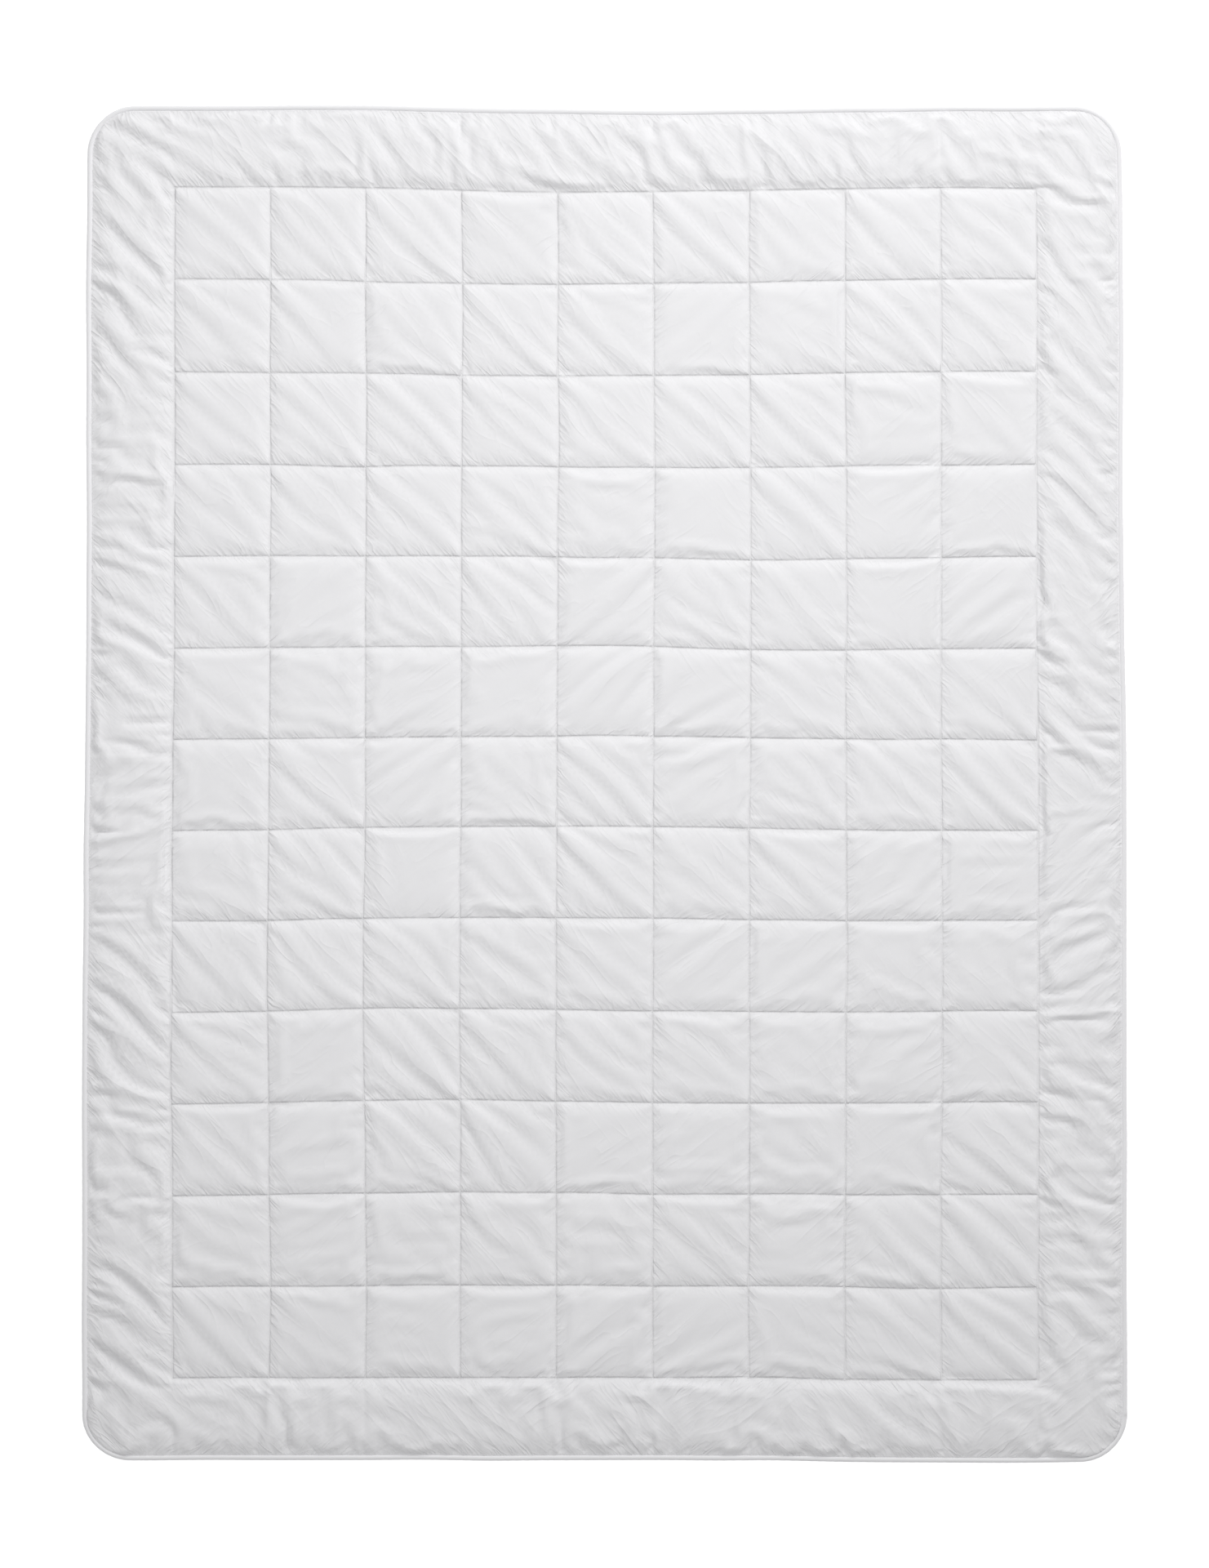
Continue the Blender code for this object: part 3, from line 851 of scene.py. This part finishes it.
piping_cover = count(ring_mesh("piping_cover", carried_round(cover_out, cover_up, PIPING_RADIUS), along))
bends(piping_cover, *both("piping_cover"), slot="piping_cloth")

around = np.linspace(0, 2 * np.pi, CORD_SIDES, endpoint=False)[None]
strands = np.cos(CORD_STRANDS * around - 2 * np.pi * along[:, None] / CORD_TURN)
cord_radius = CORD_SHARE * PIPING_RADIUS * (1 + STRAND_DEPTH * strands)
cord_up = PIPING_HEIGHT + cord_radius * np.sin(around)
cord = carried_round(cord_radius * np.cos(around), cord_up, PIPING_RADIUS)
piping_cord = count(ring_mesh("piping_cord", cord, along))
bends(piping_cord, *both("piping_cord"), slot="piping_cord")

# %% [markdown]
# ## The sewing
#
# Lockstitch shows one short stitch after another on both sides, the needle's thread on the face and
# the bobbin's on the back. There are thousands, so each one is a spindle of only ten points, and all
# stitches of a line are worked out at once: the ten points of one stitch, laid along the line's
# direction at each stitch's middle. A spindle's ends dip into the cloth where the needle went through.

# %% Stitches
STITCH_PITCH = 4.2 * MM
STITCH_LENGTH = 3.5 * MM
STITCH_RADIUS = 0.3 * MM
STITCH_DIP = 0.35 * MM
STITCH_RISE = 0.5  # how far a stitch's middle lies over the cloth, in stitch radii
HOP_HEIGHT = 0.5 * MM  # how far a row's thread rises over a column's
HOP_LENGTH = 2 * MM


def spindle():
    """One stitch: points (10, 3) along, sideways and up, and its faces."""
    angles = np.arange(4) * np.pi / 2
    ring = np.stack([np.zeros(4), np.cos(angles), np.sin(angles)], axis=-1) * STITCH_RADIUS
    shift = np.array([STITCH_LENGTH / 4, 0, 0])
    tip = np.array([STITCH_LENGTH / 2, 0, -STITCH_DIP])
    points = np.concatenate([[tip * (-1, 1, 1)], ring - shift, ring + shift, [tip]])
    sides = [(1 + i, 1 + (i + 1) % 4, 5 + (i + 1) % 4, 5 + i) for i in range(4)]
    ends = [(0, 1 + (i + 1) % 4, 1 + i) for i in range(4)] + [(9, 5 + i, 5 + (i + 1) % 4) for i in range(4)]
    return points, sides, ends


def line_of_stitches(line, up):
    """The points (stitches, 10, 3) of the stitches along a line (3, n), which lie on its up side."""
    steps = np.sqrt((np.diff(line, axis=1) ** 2).sum(axis=0))
    distance = np.concatenate([[0], np.cumsum(steps)])
    middles = np.arange(STITCH_PITCH / 2, distance[-1], STITCH_PITCH)
    centre = np.stack([np.interp(middles, distance, values) for values in line], axis=-1)
    ahead = np.stack([np.interp(middles + MM, distance, values) for values in line], axis=-1)
    behind = np.stack([np.interp(middles - MM, distance, values) for values in line], axis=-1)
    direction = ahead - behind
    direction /= np.linalg.norm(direction, axis=1, keepdims=True)
    across = np.cross((0, 0, up), direction)
    across /= np.linalg.norm(across, axis=1, keepdims=True)
    rise = np.cross(direction, across)
    centre = centre + rise * STITCH_RADIUS * STITCH_RISE
    along_it, sideways, upward = spindle()[0].T
    parts = ((direction, along_it), (across, sideways), (rise, upward))
    return centre[:, None] + sum(axis[:, None] * amount[None, :, None] for axis, amount in parts)


def sewn_piece(name, *groups):
    """One object from several groups of stitches."""
    stitches = np.concatenate(groups)
    _, sides, ends = spindle()
    first = np.arange(len(stitches))[:, None, None] * 10
    quads = (first + np.array(sides)).reshape(-1, 4).tolist()
    triangles = (first + np.array(ends)).reshape(-1, 3).tolist()
    return new_object(name, stitches.reshape(-1, 3), quads + triangles)


def row_line(cloth, quads, row, up):
    """The line (3, n) of a row's sewing on a cloth, rising over the thread of each column."""
    columns, rows = sewn_lines(COLUMN_COUNT, quads), sewn_lines(ROW_COUNT, FACE_QUADS)
    line = cloth[:, rows[row], columns[0]:columns[-1] + 1].copy()
    nearest = np.abs(line[0][:, None] - cloth[0, rows[row], columns][None]).min(axis=1)
    line[2] += up * HOP_HEIGHT * np.exp(-((nearest / HOP_LENGTH) ** 2))
    return line


def column_line(cloth, quads, column):
    """The line (3, n) of a column's sewing on a cloth."""
    columns, rows = sewn_lines(COLUMN_COUNT, quads), sewn_lines(ROW_COUNT, FACE_QUADS)
    return cloth[:, rows[0]:rows[-1] + 1, columns[column]]


def edge_line(cloth):
    """The closed line (3, n) one grid line inside the edge of a cloth."""
    inner = cloth[:, 1:-1, 1:-1]
    sides = [inner[:, 0, :-1], inner[:, :-1, -1], inner[:, -1, :0:-1], inner[:, :0:-1, 0]]
    ring = np.concatenate(sides, axis=1)
    return np.concatenate([ring, ring[:, :1]], axis=1)


threads = []
for number in range(1, COLUMN_COUNT + 1):
    sides = [line_of_stitches(column_line(face, FACE_QUADS, number - 1), 1),
             line_of_stitches(column_line(back, BACK_QUADS, number - 1), -1)]
    thread = sewn_piece(f"column_stitching_{number:02d}", *sides)
    bends(thread, *both(f"column_thread_{number:02d}"), slot="sewing_thread")
    threads.append(thread)
for number in range(1, ROW_COUNT + 1):
    row = ROW_COUNT - number  # rows are numbered from the head end, and the grid starts at the foot
    sides = [line_of_stitches(row_line(face, FACE_QUADS, row, 1), 1),
             line_of_stitches(row_line(back, BACK_QUADS, row, -1), -1)]
    thread = sewn_piece(f"row_stitching_{number:02d}", *sides)
    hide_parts(f"row_thread_{number:02d}")
    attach(thread, "turnback" if middle_of(f"row_thread_{number:02d}").y > FOLD.y else "main")
    threads.append(thread)
sides = [line_of_stitches(edge_line(face), 1), line_of_stitches(edge_line(back), -1)]
edge_stitching = sewn_piece("edge_stitching", *sides)
bends(edge_stitching, *both("edge_seam_thread"), slot="sewing_thread")
threads.append(edge_stitching)
print(len(threads), "lines of stitching,", sum(len(t.data.vertices) for t in threads) // 10, "stitches")

# %% [markdown]
# ## The care label
#
# A short loop of satin ribbon is caught in the edge seam and lies under the duvet. It is one strip,
# folded at its free end, so its side view is a flat hairpin: out along the top, round the fold and
# back. It is blank, because a label's text belongs to a maker.

# %% Care label
LABEL_POINTS = 40
LABEL_LINES = 15
LABEL_SAMPLES = 24  # places along the label where the cloth over it is read
LABEL_BEND = 0.12  # the share of the strip's points that go round its fold
LABEL_GAP = 0.25 * MM  # half the distance between the two layers of the ribbon
RIBBON = 0.12 * MM
LABEL_BELOW = 1.05 * MM  # from the back cloth down to the middle of the folded ribbon
LABEL_REST = 0.45 * MM  # height of that middle where the label lies on the floor


def hairpin(count, length, half_gap):
    """Side view of a folded strip: straight, half a turn round the fold, and straight back."""
    t = np.linspace(-1, 1, count)
    straight = length - half_gap
    bend = np.clip((1 - np.abs(t) / LABEL_BEND), 0, 1) * np.pi / 2
    before_bend = np.abs(t) > LABEL_BEND
    straight_reach = (1 - np.abs(t)) / (1 - LABEL_BEND) * straight
    reach = np.where(before_bend, straight_reach, straight + half_gap * np.sin(bend))
    side = np.where(before_bend, np.sign(t), np.sign(t) * np.cos(bend))
    return reach, side * half_gap


reach, layer = hairpin(LABEL_POINTS, label_high.x - label_low.x, LABEL_GAP)
widths = np.linspace(label_low.y, label_high.y, LABEL_LINES)
samples = np.linspace(label_low.x, label_high.x, LABEL_SAMPLES)
cloth_over = read_grid(back, plan_axes(BACK_QUADS, CROWDING), (samples, widths))[2]
over = np.stack([np.interp(label_low.x + reach, samples, heights) for heights in cloth_over], axis=-1)
middle_height = np.maximum(over - LABEL_BELOW, LABEL_REST)
label_flat = np.stack(np.broadcast_arrays((label_low.x + reach)[:, None], widths[None]))
label_points = np.stack([*drift(*label_flat), middle_height + layer[:, None]])
strip_length = np.concatenate([[0], np.cumsum(np.hypot(np.diff(reach), np.diff(layer)))])
ribbon_flat = np.stack(np.meshgrid(widths, strip_length))
care_label = cloth_mesh("care_label_ribbon", label_points, ribbon_flat)
solid = care_label.modifiers.new("ribbon", "SOLIDIFY")
solid.thickness = RIBBON
solid.offset = 0
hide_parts("care_label")
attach(care_label, "main")
count(care_label)
print(f"label strip {strip_length[-1] / MM:.1f} mm long before it was folded")

# %% [markdown]
# ## Why the cloths were cut larger
#
# Both cloths were cut larger than the duvet, because they rise over the wadding and are turned in at
# the edge. They also take the spare cloth of the folds and a seam allowance on each side.

# %% [markdown]
# ## Writing materials as sums
#
# A material is a tree of nodes, and its maths is easier to read as Python. A Value wraps a socket and
# turns +, -, *, / and ** into Math nodes. A Finish is one material, and its method make() adds any
# node: its type, its settings and what goes into its sockets.

# %% Values and finishes
class Value:
    """The output of a node, with which Python's operators calculate."""

    def __init__(self, finish, socket):
        self.finish = finish
        self.socket = socket

    def math(self, operation, *others):
        """A Math node with this value first."""
        inputs = dict(enumerate((self, *others)))
        return self.finish.make("ShaderNodeMath", {"operation": operation}, inputs)

    def __add__(self, other):
        return self.math("ADD", other)

    def __mul__(self, other):
        return self.math("MULTIPLY", other)

    def __sub__(self, other):
        return self.math("SUBTRACT", other)

    def __rsub__(self, other):
        return (self * -1) + other

    def __truediv__(self, other):
        return self.math("DIVIDE", other)

    def __rtruediv__(self, other):
        return self ** -1 * other

    def __pow__(self, other):
        return self.math("POWER", other)

    __radd__ = __add__
    __rmul__ = __mul__


class Finish:
    """One material, with its shader's constant sockets given by name."""

    def __init__(self, name, **constants):
        self.material = bpy.data.materials.new(name)
        self.material.use_nodes = True
        self.nodes = self.material.node_tree.nodes
        self.links = self.material.node_tree.links
        self.shader = self.nodes["Principled BSDF"]
        for socket, value in constants.items():
            self.shader.inputs[socket.replace("_", " ")].default_value = value

    def make(self, kind, settings=None, inputs=None, output=0):
        """Adds a node, sets it, then fills its sockets with values or links; gives its output."""
        node = self.nodes.new(kind)
        for setting, value in (settings or {}).items():
            setattr(node, setting, value)
        for socket, value in (inputs or {}).items():
            if isinstance(value, Value):
                self.links.new(value.socket, node.inputs[socket])
            else:
                node.inputs[socket].default_value = value
        return Value(self, node.outputs[output])

    def feed(self, socket, value):
        """Connects a value to one of the shader's sockets."""
        self.links.new(value.socket, self.shader.inputs[socket])

    def moved(self, vector, turn=0.0, scale=(1, 1, 1)):
        """Turns and scales coordinates about Z."""
        inputs = {"Vector": vector, "Rotation": (0, 0, turn), "Scale": scale}
        return self.make("ShaderNodeMapping", {}, inputs)

    def noise(self, vector, scale, detail=2.0, distortion=0.0):
        """Noise from 0 to 1."""
        inputs = {"Vector": vector, "Scale": scale, "Detail": detail, "Distortion": distortion}
        return self.make("ShaderNodeTexNoise", {}, inputs)

    def mixed(self, share, first, second):
        """A colour between two others."""
        inputs = {"Factor": share, 6: (*first, 1), 7: (*second, 1)}
        return self.make("ShaderNodeMix", {"data_type": "RGBA"}, inputs, output=2)

    def raised(self, height, distance):
        """Bumps the surface by a height of 0 to 1 times a distance in metres."""
        normal = self.make("ShaderNodeBump", {}, {"Height": height, "Distance": distance})
        self.feed("Normal", normal)


def coordinates(finish, kind):
    """Object coordinates, or the piece's UV, in metres."""
    return finish.make("ShaderNodeTexCoord", {}, {}, output={"Object": 3, "UV": 2}[kind])


def number_of(finish, name):
    """A number that the piece's points carry."""
    return finish.make("ShaderNodeAttribute", {"attribute_name": name}, {}, output=2)


# %% [markdown]
# ## The cloth's finish
#
# The shell is brushed microfibre: matt, very white and slightly velvety at a slant. Its weave is too
# fine to see from above and shows close up as crossing waves along the UVs. The puffs and folds are in
# the mesh, and the finish adds what is finer than the mesh: long creases across a square, short
# puckers beside the sewing, crisp folds in the band and the thread's bite. A ridge, 1 - |2n - 1|
# raised to a power, turns smooth noise into thin lines, and stretched coordinates make them slant.
# The noise is read from the UV in which the squares lie apart. All strengths are given below.

# %% Shell cloth
WEAVE_PITCH = 0.9 * MM
CREASE_ANGLE = np.radians(-42)
OTHER_ANGLE = np.radians(50)
CREASE_STRETCH = 0.24
DRAG_GAIN = 1.2  # how sharply the creases change from one diagonal to the other
DRAG_BIAS = 0.2
BITE_WIDTH = 1.5 * MM
CLOTH_LOW, CLOTH_HIGH = (0.858, 0.855, 0.870), (0.886, 0.883, 0.897)
# how many there are to a metre
PATCH_SCALE = 16.0
LUMP_SCALE = 30.0
LONG_SCALE = 48.0
PUCKER_SCALE = 105.0
FOLD_SCALE = 23.0
# heights in millimetres
SOFT_LUMPS = 0.45
LONG_CREASES = 0.6
PUCKERS = 1.0
BAND_FOLDS = 1.3
ROW_BITE = 0.3
COLUMN_BITE = 0.12
WEAVE_DEPTH = 0.02


def weave(finish, cut, turn=0.0):
    """Height of a plain weave: sin(x) * sin(y), from 0 to 1, along the cloth's own threads."""
    scale = 2 * np.pi / WEAVE_PITCH
    turned = finish.moved(cut, turn, (scale, scale, scale))
    x, y = (finish.make("ShaderNodeSeparateXYZ", {}, {"Vector": turned}, output=i) for i in (0, 1))
    return x.math("SINE") * y.math("SINE") * 0.5 + 0.5


def creases(finish, place, turn, scale, power):
    """Thin slanting lines: (1 - |2n - 1|) to a power, of noise that is stretched along them.

    A Mapping node scales before it turns, so the turn and the stretch are two nodes.
    """
    stretched = finish.moved(finish.moved(place, turn), 0.0, (1, CREASE_STRETCH, 1))
    ridge = 1 - (finish.noise(stretched, scale, 1.0, 0.5) * 2 - 1).math("ABSOLUTE")
    return ridge ** power


def both_ways(finish, place, scale, power):
    """Creases along the one diagonal where the cloth was dragged, and along the other elsewhere."""
    dragged = clipped(finish, number_of(finish, "drag") * DRAG_GAIN + DRAG_BIAS)
    one_way = creases(finish, place, CREASE_ANGLE, scale, power)
    other_way = creases(finish, place, OTHER_ANGLE, scale, power)
    return one_way * dragged + other_way * (1 - dragged)


def clipped(finish, value):
    """A value held between 0 and 1."""
    return finish.make("ShaderNodeClamp", {}, {"Value": value})


def beside_lines(along, across, first, pitch, half_along, half_across):
    """The thread's bite: 1 - exp(-(d / width)^2) beside evenly spaced lines, and 1 outside them."""
    distance = (along - first).math("PINGPONG", pitch / 2)
    bite = ((distance / BITE_WIDTH) ** 2 * -1).math("EXPONENT")
    within_width = across.math("ABSOLUTE").math("LESS_THAN", half_across)
    within_length = along.math("ABSOLUTE").math("LESS_THAN", half_along)
    return 1 - bite * (within_width * within_length)


def thread_bite(finish, cut):
    """0 on the columns, and on the rows, of the quilting and 1 a millimetre or two beside them."""
    x, y = (finish.make("ShaderNodeSeparateXYZ", {}, {"Vector": cut}, output=i) for i in (0, 1))
    half_x, half_y = (float(half) for half in FIELD)
    pitch_x, pitch_y = column_xs[1] - column_xs[0], row_ys[1] - row_ys[0]
    columns = beside_lines(x, y, column_xs[0], pitch_x, half_x + pitch_x / 4, half_y)
    rows = beside_lines(y, x, row_ys[0], pitch_y, half_y + pitch_y / 4, half_x)
    return columns, rows


def white_cloth(name):
    """Brushed white microfibre without its height, which differs from piece to piece."""
    finish = Finish(name, Sheen_Weight=0.12, Sheen_Roughness=0.4, Specular_IOR_Level=0.2)
    place = coordinates(finish, "UV")
    cloud = finish.noise(place, 9.0, 3.0)
    finish.feed("Base Color", finish.mixed(cloud, CLOTH_LOW, CLOTH_HIGH))
    finish.feed("Roughness", finish.noise(place, 60.0) * 0.12 + 0.82)
    return finish, place


def shell_finish():
    """The two cloths: weave, creases, puckers at the seams and the thread's bite."""
    finish, cut = white_cloth("shell_cloth")
    square = finish.make("ShaderNodeUVMap", {"uv_map": "square"})
    patchy = clipped(finish, finish.noise(square, PATCH_SCALE, 1.0) * 3 - 0.9)
    soft = finish.noise(square, LUMP_SCALE, 3.0, 0.4) * SOFT_LUMPS
    long = both_ways(finish, square, LONG_SCALE, 6) * patchy * LONG_CREASES
    short = both_ways(finish, square, PUCKER_SCALE, 3) * number_of(finish, "pucker") * PUCKERS
    folds = both_ways(finish, square, FOLD_SCALE, 5) * number_of(finish, "band") * BAND_FOLDS
    columns, rows = thread_bite(finish, cut)
    bite = columns * COLUMN_BITE + rows * ROW_BITE
    height = (soft + long + short + folds) * columns * rows + bite + weave(finish, cut) * WEAVE_DEPTH
    finish.raised(height, MM)
    return finish.material


def bias_finish():
    """The piping's strip, whose weave runs slantwise."""
    finish, cut = white_cloth("piping_cloth")
    finish.raised(weave(finish, cut, np.radians(45)) * WEAVE_DEPTH, MM)
    return finish.material


shell = shell_finish()
face_cloth.data.materials.append(shell)
back_cloth.data.materials.append(shell)
piping_cover.data.materials.append(bias_finish())
print("the cloth's finish has", len(shell.node_tree.nodes), "nodes")

# %% [markdown]
# ## Wadding, cord, thread and ribbon
#
# The batt is a mass of tangled fibres, so its height comes from stretched noise laid across itself
# twice, and its colour follows that height as painted shade, darker in the hollows between fibres.
# The cord is twisted cotton with the same finish and the same painted shade. Thread is polyester with
# a little shine, and painted shade darkens the hollows of its twist. Satin ribbon has fine ribbing
# along it and shines more, and painted shade darkens the grooves of its ribbing.

# %% Other finishes
def fibre_finish(name, low, high, scale, distance):
    """Tangled fibres: the mean of two crossed stretched noises, as bump and as painted shade in colour."""
    finish = Finish(name, Sheen_Weight=0.2, Specular_IOR_Level=0.15)
    place = coordinates(finish, "Object")
    strands = [finish.noise(finish.moved(place, turn, (1, 7, 3)), scale, 4.0, 1.2) for turn in (0.5, 2.1)]
    tangle_and_painted_shade = (strands[0] + strands[1]) * 0.5
    # painted shade: the colour is darker where the fibres lie low, in the hollows between them
    finish.feed("Base Color", finish.mixed(tangle_and_painted_shade, low, high))
    finish.feed("Roughness", tangle_and_painted_shade * 0.15 + 0.82)
    finish.raised(tangle_and_painted_shade, distance)
    return finish.material


def thread_finish():
    """Twisted polyester thread: a fine twist, painted shade in its hollows, and a slight shine."""
    finish = Finish("sewing_thread", Sheen_Weight=0.05, Specular_IOR_Level=0.45)
    place = coordinates(finish, "Object")
    turns_and_painted_shade = finish.noise(place, 1400.0, 1.0)
    # painted shade: the colour is darker in the hollows of the twist
    finish.feed("Base Color", finish.mixed(turns_and_painted_shade, (0.84, 0.84, 0.85), (0.93, 0.93, 0.93)))
    finish.feed("Roughness", turns_and_painted_shade * 0.15 + 0.42)
    finish.raised(turns_and_painted_shade, 0.05 * MM)
    return finish.material


def ribbon_finish():
    """White satin: fine ribbing along the strip, painted shade in its grooves, and a soft shine."""
    finish = Finish("label_ribbon", Sheen_Weight=0.1, Specular_IOR_Level=0.5)
    cut = coordinates(finish, "UV")
    across = finish.make("ShaderNodeSeparateXYZ", {}, {"Vector": cut}, output=0)
    ribs_and_painted_shade = (across * (2 * np.pi / (0.5 * MM))).math("SINE") * 0.5 + 0.5
    # painted shade: the colour is darker in the grooves between the raised lines of the ribbing
    finish.feed("Base Color", finish.mixed(ribs_and_painted_shade, (0.86, 0.86, 0.87), (0.93, 0.93, 0.94)))
    finish.feed("Roughness", ribs_and_painted_shade * 0.1 + 0.34)
    finish.raised(ribs_and_painted_shade, 0.04 * MM)
    return finish.material


batt_fibre = fibre_finish("wadding", (0.86, 0.86, 0.84), (0.95, 0.95, 0.93), scale=90.0, distance=0.8 * MM)
cotton = fibre_finish("piping_cord", (0.84, 0.83, 0.8), (0.94, 0.93, 0.9), scale=400.0, distance=0.2 * MM)
wadding.data.materials.append(batt_fibre)
piping_cord.data.materials.append(cotton)
care_label.data.materials.append(ribbon_finish())
polyester = thread_finish()
for thread in threads:
    thread.data.materials.append(polyester)
print("materials:", sorted(material.name for material in bpy.data.materials if material.users))

# %% [markdown]
# ## Floor, light and camera
#
# The duvet lies on a pale floor. One large soft lamp stands past the head end and to the right, low
# enough for the puffs and creases to show. A weak one hangs above the middle, and an even white
# surround fills the shadows.

# %% Stage
FLOOR_HALF = 150.0
FLOOR_WHITE = (0.95, 0.95, 0.95, 1)
FLOOR_GLOW = 0.55
SURROUND = 0.465
corners = [(x * FLOOR_HALF, y * FLOOR_HALF, 0) for x, y in ((-1, -1), (1, -1), (1, 1), (-1, 1))]
floor = new_object("floor", corners, [(0, 1, 2, 3)])
glow = {"Emission_Color": (1, 1, 1, 1), "Emission_Strength": FLOOR_GLOW}
paper = Finish("floor_paper", Base_Color=FLOOR_WHITE, **glow)
floor.data.materials.append(paper.material)

world = bpy.data.worlds.new("studio")
bpy.context.scene.world = world
world.use_nodes = True
world.node_tree.nodes["Background"].inputs["Color"].default_value = (1, 1, 1, 1)
world.node_tree.nodes["Background"].inputs["Strength"].default_value = SURROUND


def area_light(name, place, target, size, power):
    """A square lamp at a place, aimed at a target."""
    data = bpy.data.lights.new(name, "AREA")
    data.shape = "SQUARE"
    data.size = size
    data.energy = power
    lamp = bpy.data.objects.new(name, data)
    lamp.location = place
    lamp.rotation_euler = (Vector(target) - Vector(place)).to_track_quat("-Z", "Y").to_euler()
    bpy.context.scene.collection.objects.link(lamp)
    print(f"{name}: {power} W, {Vector(place).length:.1f} m away")


area_light("key", place=(1.68, 3.77, 3.01), target=(0, 0.1, 0), size=2.0, power=104)
area_light("fill", place=(-0.19, 0.35, 2.1), target=(0, 0.2, 0), size=1.3, power=10.7)

# %% [markdown]
# ## The camera
#
# It looks straight down. A lens of 85 mm stands far enough away that the sides look parallel, and its
# height follows from the length that it has to take in.

# %% Camera
LENS = 85
SENSOR_HALF = 18  # half of the camera's sensor, in the lens's own millimetres
VIEW_LENGTH = 2.3155  # what the camera takes in, from the top of the picture to the bottom
camera_data = bpy.data.cameras.new("camera")
camera_data.lens = LENS
camera = bpy.data.objects.new("camera", camera_data)
camera.location = (0, 0, VIEW_LENGTH / 2 / (SENSOR_HALF / LENS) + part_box("face_cloth_main")[1].z / 2)
bpy.context.scene.collection.objects.link(camera)
bpy.context.scene.camera = camera
bpy.context.scene.view_settings.view_transform = "Standard"
print(f"camera {camera.location.z:.2f} m up")

# %% [markdown]
# ## Triangles
#
# The triangles of the large pieces are added up.

# %% Triangles
print(sum(TRIANGLES.values()), "triangles in the large pieces")
